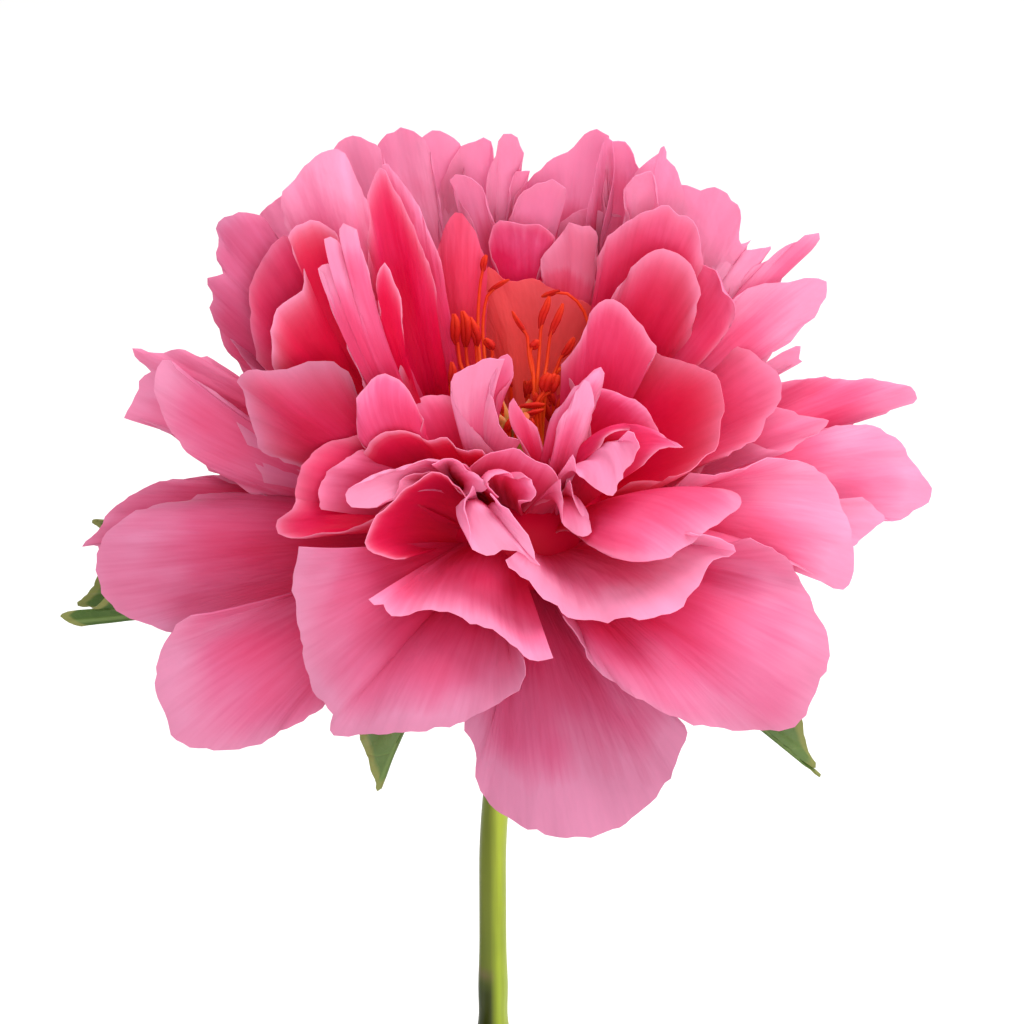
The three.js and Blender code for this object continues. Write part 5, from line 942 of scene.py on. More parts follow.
def addPlainFinish(name, stops, patternScale, roughness, bump, through=0.0, sheen=0.0):
    finish, tree = newFinish(name)
    spot = addNode(tree, "ShaderNodeTexCoord").outputs["Object"]
    grain = addNode(tree, "ShaderNodeTexNoise", {"Scale": patternScale, "Detail": 3.0}, {"Vector": spot})
    along = addNode(tree, "ShaderNodeAttribute", {"attribute_name": "along"}).outputs["Fac"]
    shift = addNode(tree, "ShaderNodeMath", {"operation": "MULTIPLY_ADD", 1: 0.4, 2: -0.2}, {0: grain})
    shade = addNode(tree, "ShaderNodeMath", {"operation": "ADD"}, {0: along, 1: shift})
    colour = addNode(tree, "ShaderNodeValToRGB", {"stops": stops}, {0: shade})
    relief = addNode(tree, "ShaderNodeBump", {"Strength": 0.4, "Distance": bump * mm}, {"Height": grain})
    skin = addNode(tree, "ShaderNodeBsdfPrincipled", {
        "Roughness": roughness, "IOR": 1.4, "Specular IOR Level": 0.35, "Sheen Weight": sheen},
        {"Base Color": colour, "Normal": relief})
    if through:
        back = addNode(tree, "ShaderNodeBsdfTranslucent", {}, {"Color": colour})
        skin = addNode(tree, "ShaderNodeMixShader", {0: through}, {1: skin, 2: back})
    addNode(tree, "ShaderNodeOutputMaterial", {}, {0: skin})
    return finish


# filament: a moist thread, yellow-orange and half clear; anther: two pollen sacs, dry and dull red, with a
# grain of 0.7 mm, coarser than real pollen so that it shows
filamentSkin = addPlainFinish("filamentSkin", [(0.0, "#f09a2c"), (0.5, "#f25a1e"), (1.0, "#ea3a14")],
                              900, 0.45, 0.05, 0.45)
antherSkin = addPlainFinish("antherSkin", [(0.0, "#b40c04"), (0.5, "#c81408"), (1.0, "#dc3412")],
                            1500, 0.7, 0.15, 0.15)


def antherSacs(low, high, radius, number):  # two pollen sacs side by side
    aside = unit(np.cross(unit(high - low), [0.3, 0.8, 0.5]))
    share = np.linspace(0, 1, 12)
    swell = np.sin(np.pi * np.clip(share, 0.03, 0.97)) ** 0.45
    bow = 0.35 * radius * np.sin(share * np.pi + number) + 0.2 * radius * wobble(share * 4, number)
    made = []
    for side in (-1, 1):
        core = low + (high - low) * share[:, None] + aside * (side * 0.45 * radius * swell + bow)[:, None]
        made.append(tubeOf(core, 0.66 * radius * swell * (1 + 0.12 * wobble(share * 9, number + side)), 9))
    return made


def stamenParts():
    following = draw(5)
    low, thick = discHeight + clearance, stamens["discThick"]
    stalks, sacs = [], []

    def addStamen(points, end, radius, number):
        root = around(bearingOf(points[0]), stamens["rootRadius"], low + thick / 2)
        path = smoothLine([root, *points, points[-1] + (end - points[-1]) * 0.25], 18)[0]
        stalks.append(tubeOf(path, np.linspace(1.25, 0.85, 18) * stamens["stalkRadius"], 8))
        sacs.extend(antherSacs(points[-1], end, radius, number))

    for number, (points, end, radius) in enumerate(seenStamens):
        addStamen([place(spot) for spot in points], place(end), radius, number)
    for index in range(stamens["more"]):
        out = stamens["spread"] * (0.5 + 0.75 * following())
        height = discHeight + stamens["height"] * (0.6 + 0.4 * following())
        anther = around(index * stamens["goldenAngle"], out, height) + [0, stamens["leanBack"], 0]
        end = anther + [3 * (following() - 0.5), 1, stamens["antherLength"]]
        addStamen([anther * [0.9, 0.9, 0.55], anther], end, stamens["antherRadius"], 30 + index)
    stalks.append(turnedOf(discOf(stamens["discOuter"] - 0.4, low, thick), 36, {"along": 0.3}))
    return stalks, sacs


stalks, sacs = stamenParts()
makePiece("filaments", stalks, filamentSkin, "stamens", heart)
makePiece("anthers", sacs, antherSkin, "stamens", heart)

# carpel: a downy green pod whose stigma is drawn out into a pink crest
carpels = {"count": 4, "radius": 2.7, "height": 15, "lean": 2.6, "turn": 0.6, "baseRadius": 4.3,
           "baseThick": 1.2}
carpelDown = addPlainFinish("carpelDown", [
    (0.0, "#8f9a3c"), (0.55, "#b8a83c"), (0.85, "#d98a3c"), (1.0, "#e06a3a")], 1200, 0.75, 0.2, 0.15, 0.5)


def carpelParts():
    low = discHeight + clearance
    made = [turnedOf(discOf(carpels["baseRadius"], low, carpels["baseThick"]), 32)]
    share = np.linspace(0.02, 1, 26)
    heights = [0.02, 0.3, 0.6, 0.84, 1.0]
    away = np.interp(share, heights, [1.6, 2.0, 2.1, 2.4, 2.2 + carpels["lean"]])
    width = np.interp(share, heights, [0.7, 0.82, 0.62, 0.32, 0.3]) * carpels["radius"]
    for index in range(carpels["count"]):
        out = around(carpels["turn"] + index / carpels["count"] * math.tau)
        path = np.outer(away, out) + np.outer(low + carpels["height"] * share, [0, 0, 1])
        made.append(tubeOf(path, width, 20))
    return made


makePiece("carpelPods", carpelParts(), carpelDown, "carpels", heart)

calyx = {
    "bracts": [  # name, middle, tip, one edge and the other edge, as the petals have them
        ("bractLeft", (-46, -17, 1), (-90.4, -20.6, 4), (-84, -22.8, 1), (-84, -20.2, 7)),
        ("bractLeftUp", (-42, -13, 9), (-83, -13, 12), (-86.8, -18.4, 8), (-80, -16, 14)),
        ("bractSmall", (-44, -3, 14), (-84, -2, 16), (-82, -4, 14), (-82, -1.6, 17)),
        ("bractFront", (-19, -27, -26), (-26.8, -55.6, -36), (-30.2, -45.6, -30), (-24.4, -45.6, -34)),
        ("bractRight", (37, -27, -22), (62.2, -53, -28), (52.2, -43.6, -28), (58.4, -42, -23)),
    ],
    "bractForm": {"root": (4, -13.6), "claw": 1.6, "ruffle": 0.15, "pleat": 0.1},
    "backBract": ((20, -2, 33), (39, 1, 62), 6.6),  # its middle, its tip and half its width
    "sepals": 5, "first": 20, "length": 25, "half": 8.4, "drop": 7, "cup": 1, "root": (6, -12.6),
    "keel": 0.3,  # how much the sides of a blade stand up
}


def bractSheet(start, middle, tip, half, rows=26, columns=10):
    knee = kneeFor(start, middle, tip)
    t, s = np.linspace(0, 1, rows + 1), np.linspace(1, -1, columns + 1)
    points = np.zeros((rows + 1, columns + 1, 3))
    for row, share in enumerate(t):
        ahead = bezier(start, knee, tip, min(share + 0.05, 1)) - bezier(start, knee, tip, share - 0.05)
        aside = unit(np.cross([0, 0, 1], ahead))
        lift = unit(np.cross(ahead, aside))
        width = 0.3 + half * math.sin(math.pi * (0.12 + 0.88 * share)) ** 0.8
        bend = np.abs(s) ** 1.4 * width * calyx["keel"] + 0.2 * np.sin(5 * share + 3 * s) * np.abs(s)
        points[row] = bezier(start, knee, tip, share) + np.outer(s * width, aside) + np.outer(bend, lift)
    along, across = np.meshgrid(t, s, indexing="ij")
    return points, {"along": along, "across": across, "rim": np.maximum(np.abs(across), along ** 8),
                    "sideVein": along * 6 - np.abs(across) * 1.2}


def addLeafFinish(name, upper, lower, veinColour, marginColour, gloss):
    # Living leaf: a waxy skin over green cells. To the eye it has a soft shine, paler veins that are sunk in,
    # and a duller underside. The net of fine veins is 1.6 mm wide, coarser than real so that it shows.
    finish, tree = newFinish(name)
    across, under, rim, sideVein = [
        addNode(tree, "ShaderNodeAttribute", {"attribute_name": key}).outputs["Fac"]
        for key in ("across", "under", "rim", "sideVein")]
    spot = addNode(tree, "ShaderNodeTexCoord").outputs["Object"]
    mottle = addNode(tree, "ShaderNodeTexNoise", {"Scale": 45.0, "Detail": 4.0}, {"Vector": spot})
    cells = addNode(tree, "ShaderNodeTexVoronoi", {"Scale": 620.0, "feature": "DISTANCE_TO_EDGE"},
                    {"Vector": spot})
    top, back = [addNode(tree, "ShaderNodeValToRGB", {"stops": stops}, {0: mottle})
                 for stops in (upper, lower)]
    colour = addNode(tree, "ShaderNodeMix", {"data_type": "RGBA"}, {0: under, 6: top, 7: back}).outputs[2]
    middle = addNode(tree, "ShaderNodeMath", {"operation": "ABSOLUTE"}, {0: across})
    folded = addNode(tree, "ShaderNodeMath", {"operation": "PINGPONG", 1: 0.5}, {0: sideVein})
    rib, branch, fine, margin = [
        addNode(tree, "ShaderNodeMapRange", {"From Min": a, "From Max": b, "To Min": c, "To Max": d},
                {"Value": source})
        for source, a, b, c, d in ((middle, 0.03, 0.09, 1.0, 0.0), (folded, 0.0, 0.05, 0.6, 0.0),
                                   (cells, 0.0, 0.09, 0.16, 0.0), (rim, 0.9, 1.0, 0.0, 0.8))]
    veins = rib
    for other in (branch, fine):
        veins = addNode(tree, "ShaderNodeMath", {"operation": "MAXIMUM"}, {0: veins, 1: other})
    veinShare = addNode(tree, "ShaderNodeMath", {"operation": "MULTIPLY", 1: 0.75}, {0: veins})
    for code, share in ((veinColour, veinShare), (marginColour, margin)):
        colour = addNode(tree, "ShaderNodeMix", {"data_type": "RGBA", 7: linear(code)},
                         {0: share, 6: colour}).outputs[2]
    relief = addNode(tree, "ShaderNodeBump", {"Strength": 0.5, "Distance": 0.0004, "invert": True},
                     {"Height": veins})
    skin = addNode(tree, "ShaderNodeBsdfPrincipled", {
        "Roughness": gloss, "IOR": 1.42, "Specular IOR Level": 0.45},
        {"Base Color": colour, "Normal": relief})
    through = addNode(tree, "ShaderNodeBsdfTranslucent", {}, {"Color": colour})
    mixed = addNode(tree, "ShaderNodeMixShader", {0: 0.22}, {1: skin, 2: through})
    addNode(tree, "ShaderNodeOutputMaterial", {}, {0: mixed})
    return finish


bractSkin = addLeafFinish("bractSkin", [(0.3, "#2c4a14"), (0.7, "#46621c")],
                          [(0.3, "#4c6630"), (0.7, "#687f42")], "#6d8444", "#8a8a4a", 0.42)


def calyxParts():
    made = [turnedOf(rounded(receptacleProfile, 1.5), 40, {"across": 0.5, "sideVein": 0.5})]
    for index, (name, *spots) in enumerate(calyx["bracts"]):
        points, thick, facts = fanSheet(petalAt(name, 0, spots, calyx["bractForm"]), index)
        made.append(shellOf(points, thick + 0.2, {
            "along": facts["along"], "across": facts["across"], "rim": 0.7 + facts["margin"],
            "sideVein": facts["along"] * 6 - np.abs(facts["across"]) * 1.2}))
    middle, tip, half = calyx["backBract"]
    end = place(tip)
    points, facts = bractSheet(around(bearingOf(end), *calyx["bractForm"]["root"]), place(middle), end, half)
    made.append(shellOf(points, 0.6, facts))
    for index in range(calyx["sepals"]):
        bearing = math.radians(calyx["first"] + 360 / calyx["sepals"] * index)
        start = around(bearing, *calyx["root"])
        end = start + around(bearing, calyx["length"], -calyx["drop"])
        middle = (start + end) / 2 + [0, 0, calyx["cup"]]
        points, facts = bractSheet(start, middle, end, calyx["half"], 20, 12)
        made.append(shellOf(points, 0.8, facts))
    return made


makePiece("calyxGreen", calyxParts(), bractSkin, "calyx", heart)

soilTop = 132  # height of the soil where it meets the pot
stem = {"footRadius": 3.7, "topRadius": 2.7, "buried": 48, "knot": 0.8, "knotHalf": 9, "bend": 70,
        "upright": 5, "scarAbove": 19, "swellAbove": 14}  # leaf scar and swelling, above the first leaf
leafRows = [
    {"name": "leaf_1", "height": 330, "azimuth": 232, "stalk": 54, "rise": 14,
     "side": 1, "middle": 1, "length": 84},
    {"name": "leaf_2", "height": 285, "azimuth": 350, "stalk": 66, "rise": 20,
     "side": 1, "middle": 3, "length": 80},
    {"name": "leaf_3", "height": 255, "azimuth": 170, "stalk": 70, "rise": 24,
     "side": 1, "middle": 3, "length": 84},
    {"name": "leaf_4", "height": 226, "azimuth": 292, "stalk": 74, "rise": 24,
     "side": 1, "middle": 3, "length": 84},
    {"name": "leaf_5", "height": 188, "azimuth": 76, "stalk": 76, "rise": 22,
     "side": 3, "middle": 3, "length": 78},
]


def stemLine():
    top = heart[2] + receptacleProfile[0][1] - clearance
    bottom = soilTop - stem["buried"] + 1
    z = np.linspace(bottom, top, 150)
    lean = np.clip((z - top + stem["bend"]) / (stem["bend"] - stem["upright"]), 0, 1)
    lean = lean * lean * (3 - 2 * lean)
    radii = stem["footRadius"] + (stem["topRadius"] - stem["footRadius"]) * (z - bottom) / (top - bottom)
    for leaf in leafRows:
        radii = radii + stem["knot"] * np.exp(-((z - leaf["height"]) / (0.5 * stem["knotHalf"])) ** 2)
    radii = radii + 0.3 * np.exp(-((z - leafRows[0]["height"] - stem["swellAbove"]) / 7) ** 2)
    return np.stack([heart[0] * lean, 0 * z, z], 1), radii


def addStemFinish():
    # Fleshy herbaceous stem: a smooth waxy skin with faint ribs 1.4 mm apart, yellow-green above and flushed
    # red near the ground, with painted shade in dark olive down its left side.
    finish, tree = newFinish("stemSkin")
    along, scar, olive = [addNode(tree, "ShaderNodeAttribute", {"attribute_name": key}).outputs["Fac"]
                          for key in ("along", "scar", "olive")]
    spot = addNode(tree, "ShaderNodeTexCoord").outputs["Object"]
    drawn = addNode(tree, "ShaderNodeVectorMath", {"operation": "MULTIPLY", 1: (1, 1, 0.06)}, {0: spot})
    fibre = addNode(tree, "ShaderNodeTexNoise", {"Scale": 700.0, "Detail": 3.0}, {"Vector": drawn})
    patch = addNode(tree, "ShaderNodeTexNoise", {"Scale": 60.0, "Detail": 2.0}, {"Vector": spot})
    shift = addNode(tree, "ShaderNodeMath", {"operation": "MULTIPLY_ADD", 1: 0.3, 2: -0.15}, {0: patch})
    shade = addNode(tree, "ShaderNodeMath", {"operation": "ADD"}, {0: along, 1: shift})
    colour = addNode(tree, "ShaderNodeValToRGB", {"stops": [
        (0.1, "#7c3a34"), (0.28, "#7d6a3a"), (0.5, "#7f9424"), (0.8, "#a0ae30"), (1.0, "#b4c044")]},
        {0: shade})
    streak = addNode(tree, "ShaderNodeValToRGB", {"stops": [(0.3, 0.84), (0.6, 1.0)]}, {0: fibre})
    colour = addNode(tree, "ShaderNodeMix", {"data_type": "RGBA", "blend_type": "MULTIPLY", 0: 1.0},
                     {6: colour, 7: streak}).outputs[2]
    # a pale leaf scar, then painted shade: dark olive down the stem's left side
    for code, share in (("#b79a6a", scar), ("#2c3406", olive)):
        colour = addNode(tree, "ShaderNodeMix", {"data_type": "RGBA", 7: linear(code)},
                         {0: share, 6: colour}).outputs[2]
    relief = addNode(tree, "ShaderNodeBump", {"Strength": 0.3, "Distance": 0.0003}, {"Height": fibre})
    skin = addNode(tree, "ShaderNodeBsdfPrincipled", {
        "Roughness": 0.4, "IOR": 1.42, "Specular IOR Level": 0.35, "Subsurface Weight": 0.25,
        "Subsurface Radius": (0.6, 1.0, 0.2), "Subsurface Scale": 0.001},
        {"Base Color": colour, "Normal": relief})
    addNode(tree, "ShaderNodeOutputMaterial", {}, {0: skin})
    return finish


path, radii = stemLine()
points, faces, facts = tubeOf(path, radii, 40, ribs=0.015)
scarHeight = leafRows[0]["height"] + stem["scarAbove"]
# the stem's left side, where the leaf scar sits and where painted shade darkens the stem, most below the scar
leftward = np.clip(0.35 - points[:, 0] / stem["footRadius"], 0, 1)
scarred = np.exp(-((points[:, 2] - scarHeight) / 1.3) ** 2) * np.clip(leftward * 1.6 - 0.3, 0, 1)
below = np.interp(points[:, 2], [scarHeight - 4, scarHeight + 2], [1.0, 0.72])
facts = {**facts, "scar": scarred[:, None], "olive": (np.clip(leftward * 2, 0, 1) * below)[:, None]}
makePiece("stemStalk", [(points, faces, facts)], addStemFinish(), "stem")

leaflet = {"slender": 0.195, "droop": 38, "fold": 14, "thick": 0.5, "swing": 52, "outerShare": 0.8,
           "sideShare": 0.86}
petiole = {"radius": 1.5, "branch": 26, "spread": 64, "sideShare": 0.62, "loneShare": 0.5, "arch": 0.08}
leafSkin = addLeafFinish("leafSkin", [(0.3, "#234a1c"), (0.55, "#2f5f25"), (0.75, "#41752f")],
                         [(0.3, "#5f7d4a"), (0.7, "#7a9560")], "#8fae6a", "#6f8a4a", 0.4)


def turnAbout(vector, axis, degrees):
    return np.array(Matrix.Rotation(math.radians(degrees), 3, Vector(axis)) @ Vector(vector))


def leafletSheet(base, heading, length, seed, rows=30, columns=14):
    aside = unit(np.cross([0, 0, 1.0], heading))
    t, s = np.linspace(0, 1, rows + 1), np.linspace(1, -1, columns + 1)
    out = np.abs(s)
    fold, half = math.radians(leaflet["fold"]), length * leaflet["slender"]
    points = np.zeros((rows + 1, columns + 1, 3))
    point = np.array(base, float)
    for row, share in enumerate(t):
        ahead = turnAbout(heading, aside, leaflet["droop"] * share)
        lift = unit(np.cross(ahead, aside))
        width = 0.35 + half * math.sin(math.pi * (0.1 + 0.9 * share) ** 0.8) ** 0.85
        width *= 1 + 0.035 * float(wobble(share * 9, seed))
        rise = out * width * math.sin(fold) + 0.9 * np.sin(math.pi * out) * width / half
        rise += 0.7 * out ** 3 * math.sin(9 * share + seed)
        rise -= 0.25 * np.abs(np.sin(math.pi * (share * 7 - out * 1.5))) * out * (1 - out)
        points[row] = point + np.outer(s * width * math.cos(fold), aside) + np.outer(rise, lift)
        point = point + ahead * length / rows
    along, across = np.meshgrid(t, s, indexing="ij")
    return points, {"along": along, "across": across, "rim": np.maximum(np.abs(across), along ** 12) * 0.97,
                    "sideVein": along * 7 - np.abs(across) * 1.5}


def leafParts(leaf):
    azimuth, rise, radius = math.radians(leaf["azimuth"]), math.radians(leaf["rise"]), petiole["radius"]
    start = np.array([0, 0, leaf["height"]], float)
    fork = start + around(azimuth, leaf["stalk"] * math.cos(rise), leaf["stalk"] * math.sin(rise))
    middle = (start + fork) / 2 + [0, 0, petiole["arch"] * leaf["stalk"]]
    t = np.linspace(0, 1, 26)
    stalkRadii = radius * np.interp(t, [0, 0.06, 0.3, 0.65, 1], [1.9, 1.5, 1.2, 1, 0.9])
    blades, stalks = [], [tubeOf(bezier(start, kneeFor(start, middle, fork), fork, t), stalkRadii, 14)]
    seed = leaf["height"]
    spread, side = petiole["spread"], leaf["side"]
    for turn, count in ((0, leaf["middle"]), (spread, side), (-spread, side)):
        heading = turnAbout(around(azimuth), (0, 0, 1), turn)
        heading[2] = 0.05 if turn == 0 else -0.02
        heading = unit(heading)
        stretch = (1 if turn == 0 else petiole["sideShare"]) * (petiole["loneShare"] if count == 1 else 1)
        reach = petiole["branch"] * stretch
        twigPath = fork + np.outer(np.linspace(-1.5, reach + 2, 10), heading)
        stalks.append(tubeOf(twigPath, np.linspace(0.85, 0.6, 10) * radius, 10))
        for swing in ([0] if count == 1 else [0, leaflet["swing"], -leaflet["swing"]]):
            way = turnAbout(heading, (0, 0, 1), swing)
            share = (1 if swing == 0 else leaflet["outerShare"]) * (1 if turn == 0 else leaflet["sideShare"])
            seed += 1.3
            points, facts = leafletSheet(fork + heading * reach - way, way, leaf["length"] * share, seed)
            blades.append(shellOf(points, leaflet["thick"] * (1 - 0.6 * np.abs(facts["across"]) ** 6), facts))
            rib = points[:, points.shape[1] // 2] - [0, 0, 0.25]
            stalks.append(tubeOf(rib[:-2], np.linspace(0.62, 0.22, len(rib) - 2) * radius * 0.7, 8))
    return blades, stalks


# leaf stalk: the stem's skin, with a red flush
stalkSkin = addPlainFinish("leafStalkSkin", [(0.0, "#8a5a3c"), (0.4, "#7f8a44"), (1.0, "#8aa050")],
                           500, 0.42, 0.1)
for leaf in leafRows:
    blades, stalks = leafParts(leaf)
    makePiece(leaf["name"] + "_blades", blades, leafSkin, leaf["name"])
    makePiece(leaf["name"] + "_stalks", stalks, stalkSkin, leaf["name"])

pot = {
    "height": 150, "footRadius": 66, "shoulderRadius": 83, "lipRadius": 92, "collarHeight": 32,
    "collarOut": 4, "wall": 6, "floor": 9, "drains": 4, "drainRadius": 5, "drainAt": 32, "segments": 144,
}
shoulder = pot["height"] - pot["collarHeight"]


def wallAt(height):  # radius of the pot's inside
    return float(np.interp(height, [0, shoulder, pot["height"]],
                           [pot["footRadius"], pot["shoulderRadius"], pot["lipRadius"] - 1])) - pot["wall"]


def addClayFinish():
    # Terracotta: fired unglazed earthenware, thrown on a wheel. Dry and matt, with sand of about 1 mm,
    # turning lines 2 to 3 mm apart and pale lime bloom, most of it near the foot.
    finish, tree = newFinish("terracotta")
    spot = addNode(tree, "ShaderNodeTexCoord").outputs["Object"]
    turning = addNode(tree, "ShaderNodeVectorMath", {"operation": "MULTIPLY", 1: (0.06, 0.06, 1)}, {0: spot})
    cloud = addNode(tree, "ShaderNodeTexNoise", {"Scale": 14.0, "Detail": 4.0, "Roughness": 0.6},
                    {"Vector": spot})
    sand = addNode(tree, "ShaderNodeTexNoise", {"Scale": 900.0, "Detail": 2.0}, {"Vector": spot})
    lines = addNode(tree, "ShaderNodeTexNoise", {"Scale": 420.0, "Detail": 2.0}, {"Vector": turning})
    colour = addNode(tree, "ShaderNodeValToRGB", {"stops": [
        (0.3, "#9c4f2c"), (0.5, "#b5623a"), (0.7, "#c47a50")]}, {0: cloud})
    height = addNode(tree, "ShaderNodeSeparateXYZ", {}, {0: spot}).outputs[2]
    low = addNode(tree, "ShaderNodeMapRange", {
        "From Min": 0.0, "From Max": 0.05, "To Min": 0.22, "To Max": 0.0}, {"Value": height})
    damp = addNode(tree, "ShaderNodeMath", {"operation": "ADD"}, {0: low, 1: cloud})
    lime = addNode(tree, "ShaderNodeMapRange", {
        "From Min": 0.56, "From Max": 0.8, "To Min": 0.0, "To Max": 0.5}, {"Value": damp})
    colour = addNode(tree, "ShaderNodeMix", {"data_type": "RGBA", 7: linear("#dcc3ac")},
                     {0: lime, 6: colour}).outputs[2]
    speck = addNode(tree, "ShaderNodeValToRGB", {"stops": [(0.32, 0.8), (0.45, 1.0)]}, {0: sand})
    colour = addNode(tree, "ShaderNodeMix", {"data_type": "RGBA", "blend_type": "MULTIPLY", 0: 1.0},
                     {6: colour, 7: speck}).outputs[2]
    turned = addNode(tree, "ShaderNodeBump", {"Strength": 0.35, "Distance": 0.0012}, {"Height": lines})
    sandy = addNode(tree, "ShaderNodeBump", {"Strength": 0.35, "Distance": 0.0004},
                    {"Height": sand, "Normal": turned})
    body = addNode(tree, "ShaderNodeBsdfPrincipled", {
        "Roughness": 0.88, "IOR": 1.5, "Specular IOR Level": 0.25}, {"Base Color": colour, "Normal": sandy})
    addNode(tree, "ShaderNodeOutputMaterial", {}, {0: body})
    return finish


def buildPot():
    profile = [
        (0, 0), (pot["footRadius"], 0), (pot["shoulderRadius"], shoulder),
        (pot["shoulderRadius"] + pot["collarOut"], shoulder + 1), (pot["lipRadius"], pot["height"]),
        (wallAt(pot["height"]), pot["height"]), (wallAt(shoulder), shoulder),
        (wallAt(pot["floor"]), pot["floor"]), (0, pot["floor"]),
    ]
    return makePiece("clayPot", [turnedOf(rounded(profile, 2.2, 7), pot["segments"])], terracotta,
                     "pot", sharp=40)


def drillPot(piece):
    for index in range(pot["drains"]):
        radius = pot["drainRadius"]
        points, faces = turnedOf([(0, -20), (radius, -20), (radius, 20), (0, 20)], 32)[:2]
        bearing = (index + 0.5) / pot["drains"] * math.tau
        tool = newObject("drill", points + around(bearing, pot["drainAt"]), faces)
        cut = piece.modifiers.new("drain", "BOOLEAN")
        cut.operation, cut.object, cut.solver = "DIFFERENCE", tool, "EXACT"
        bpy.context.view_layer.objects.active = piece
        bpy.ops.object.modifier_apply(modifier="drain")
        bpy.data.meshes.remove(tool.data)


terracotta = addClayFinish()
drillPot(buildPot())

soil = {"mound": 6, "rings": 44, "segments": 168, "crumbs": 420, "pale": 46}


def crumbAt(centre, size, tone, seed):
    rng = np.random.default_rng(seed)
    rings = 5
    turns = [math.pi * ring / rings for ring in range(1, rings)]
    profile = [(0, -1)] + [(math.sin(turn), -math.cos(turn)) for turn in turns] + [(0, 1)]
    points, faces, facts = turnedOf(profile, 8, {"tone": tone})
    lumps = 1 + 0.22 * (rng.random(len(points)) - 0.5) * 2
    flat = np.array([1, 0.75 + 0.4 * rng.random(), 0.6 + 0.3 * rng.random()])
    points = points * lumps[:, None] * size * flat
    spin = Matrix.Rotation(rng.random() * 6.28, 3, "Z") @ Matrix.Rotation(rng.random() - 0.5, 3, "X")
    return points @ np.array(spin).T + centre, faces, facts


def lumpAt(x, y):
    return 1.5 * noise.fractal(Vector((x * 0.16, y * 0.16, 3)), 0.8, 2.1, 5)


def soilParts():
    top, low, foot = soilTop, soilTop - stem["buried"], pot["floor"] + clearance
    edge, holeRadius = wallAt(top) - clearance, stem["footRadius"] + 1.5 * clearance
    profile = [(0, foot), (wallAt(foot) - clearance, foot), (wallAt(shoulder) - clearance, shoulder)]
    first = (len(profile) - 1) * soil["segments"]
    inward = np.linspace(1, holeRadius / edge, soil["rings"])
    profile += [(edge * k, top + soil["mound"] * (1 - k * k)) for k in inward]
    points, faces = turnedOf(profile + [(holeRadius, low), (0, low)], soil["segments"])[:2]
    for index in range(first, first + soil["rings"] * soil["segments"]):
        x, y, z = points[index]
        far = math.hypot(x, y)
        calm = min(1, (edge - far) / 4 + 0.15) * min(1, (far - holeRadius) / 5 + 0.1)
        points[index, 2] = z + calm * (lumpAt(x, y) + 0.7 * noise.noise(Vector((x * 0.7, y * 0.7, 9))))
    made = [(points, faces, {"tone": np.zeros((len(points), 1))})]
    rng = np.random.default_rng(3)
    for index in range(soil["crumbs"] + soil["pale"]):
        away = holeRadius + 3 + (edge - holeRadius - 6) * math.sqrt(rng.random())
        spot = around(rng.random() * math.tau, away)
        pale = index >= soil["crumbs"]
        size = (0.7 + 0.7 * rng.random()) if pale else (0.9 + 2.1 * rng.random() ** 2)
        spot[2] = top + soil["mound"] * (1 - (away / edge) ** 2) + lumpAt(*spot[:2]) + 0.25 * size
        made.append(crumbAt(spot, size, 1.0 if pale else 0.5 * rng.random(), index))
    return made


def addSoilFinish():
    # Potting soil: moist peat and bark crumbs with white perlite. Dull and nearly black, rough at every
    # scale below 4 mm.
    finish, tree = newFinish("pottingSoil")
    spot = addNode(tree, "ShaderNodeTexCoord").outputs["Object"]
    tone = addNode(tree, "ShaderNodeAttribute", {"attribute_name": "tone"}).outputs["Fac"]
    grain = addNode(tree, "ShaderNodeTexNoise", {"Scale": 260.0, "Detail": 6.0, "Roughness": 0.7},
                    {"Vector": spot})
    shade = addNode(tree, "ShaderNodeMath", {"operation": "MULTIPLY_ADD", 1: 0.5}, {0: grain, 2: tone})
    colour = addNode(tree, "ShaderNodeValToRGB", {"stops": [
        (0.12, "#1c120c"), (0.35, "#3a291d"), (0.65, "#5d4330"), (0.95, "#bdb2a2"), (1.0, "#d8d2c6")]},
        {0: shade})
    relief = addNode(tree, "ShaderNodeBump", {"Strength": 0.8, "Distance": 0.0015}, {"Height": grain})
    body = addNode(tree, "ShaderNodeBsdfPrincipled", {
        "Roughness": 0.95, "IOR": 1.4, "Specular IOR Level": 0.2}, {"Base Color": colour, "Normal": relief})
    addNode(tree, "ShaderNodeOutputMaterial", {}, {0: body})
    return finish


makePiece("soilBed", soilParts(), addSoilFinish(), "soil", sharp=70)
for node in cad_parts.values():
    node.data.materials.clear()
    node.data.materials.append(terracotta if node.name == "pot" else leafSkin)

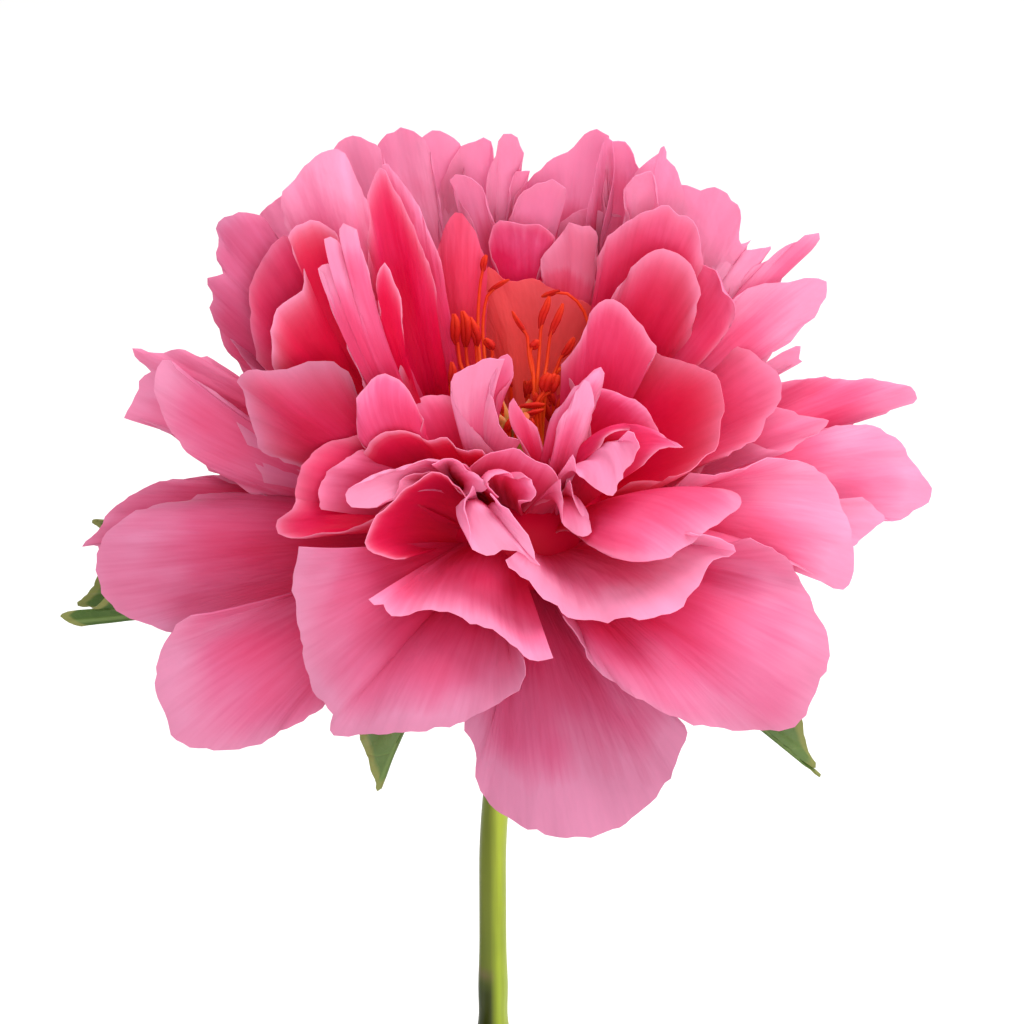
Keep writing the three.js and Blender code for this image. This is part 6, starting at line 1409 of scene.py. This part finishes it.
studio = {"world": 0.95, "key": 17.0, "keyAt": (0.5, 0.25, 1.6), "fill": 10.0, "fillAt": (0.2, -1.3, 0.8),
          "boxSize": 1.2, "floorHalf": 6000}


def layFloor():
    # Background paper: pressed wood pulp, white and quite matt, so that it sends soft light back from below.
    finish, tree = newFinish("studioPaper")
    paper = addNode(tree, "ShaderNodeBsdfPrincipled", {"Base Color": linear("#f6f5f4"), "Roughness": 0.9,
                                                       "Specular IOR Level": 0.1})
    addNode(tree, "ShaderNodeOutputMaterial", {}, {0: paper})
    half = studio["floorHalf"]
    floor = newObject("floor", [(-half, -half, 0), (half, -half, 0), (half, half, 0), (-half, half, 0)],
                      [(0, 1, 2, 3)])
    floor.data.materials.append(finish)


def addSoftbox(name):
    lamp = bpy.data.lights.new(name, "AREA")
    lamp.shape, lamp.size, lamp.energy = "DISK", studio["boxSize"], studio[name]
    holder = bpy.data.objects.new(name, lamp)
    holder.location = studio[name + "At"]
    aim = Vector(heart * mm) - holder.location
    holder.rotation_euler = aim.to_track_quat("-Z", "Y").to_euler()
    bpy.context.scene.collection.objects.link(holder)


def lightStudio():
    world = bpy.data.worlds.new("studio")
    bpy.context.scene.world = world
    world.use_nodes = True
    world.node_tree.nodes["Background"].inputs["Color"].default_value = (1, 1, 1, 1)
    world.node_tree.nodes["Background"].inputs["Strength"].default_value = studio["world"]
    addSoftbox("key")
    addSoftbox("fill")
    bpy.context.scene.view_settings.view_transform = "Standard"


def setCamera():
    lens = bpy.data.cameras.new("camera")
    lens.lens, lens.sensor_width, lens.clip_start = sight["lens"], 36, 0.01
    camera = bpy.data.objects.new("camera", lens)
    tilt = math.radians(sight["tilt"])
    back = Vector((0, -math.cos(tilt), math.sin(tilt)))
    camera.location = Vector(heart * mm) + back * sight["distance"] * mm
    camera.rotation_euler = (-back).to_track_quat("-Z", "Y").to_euler()
    bpy.context.scene.collection.objects.link(camera)
    bpy.context.scene.camera = camera


layFloor()
lightStudio()
setCamera()
print("studio ready")
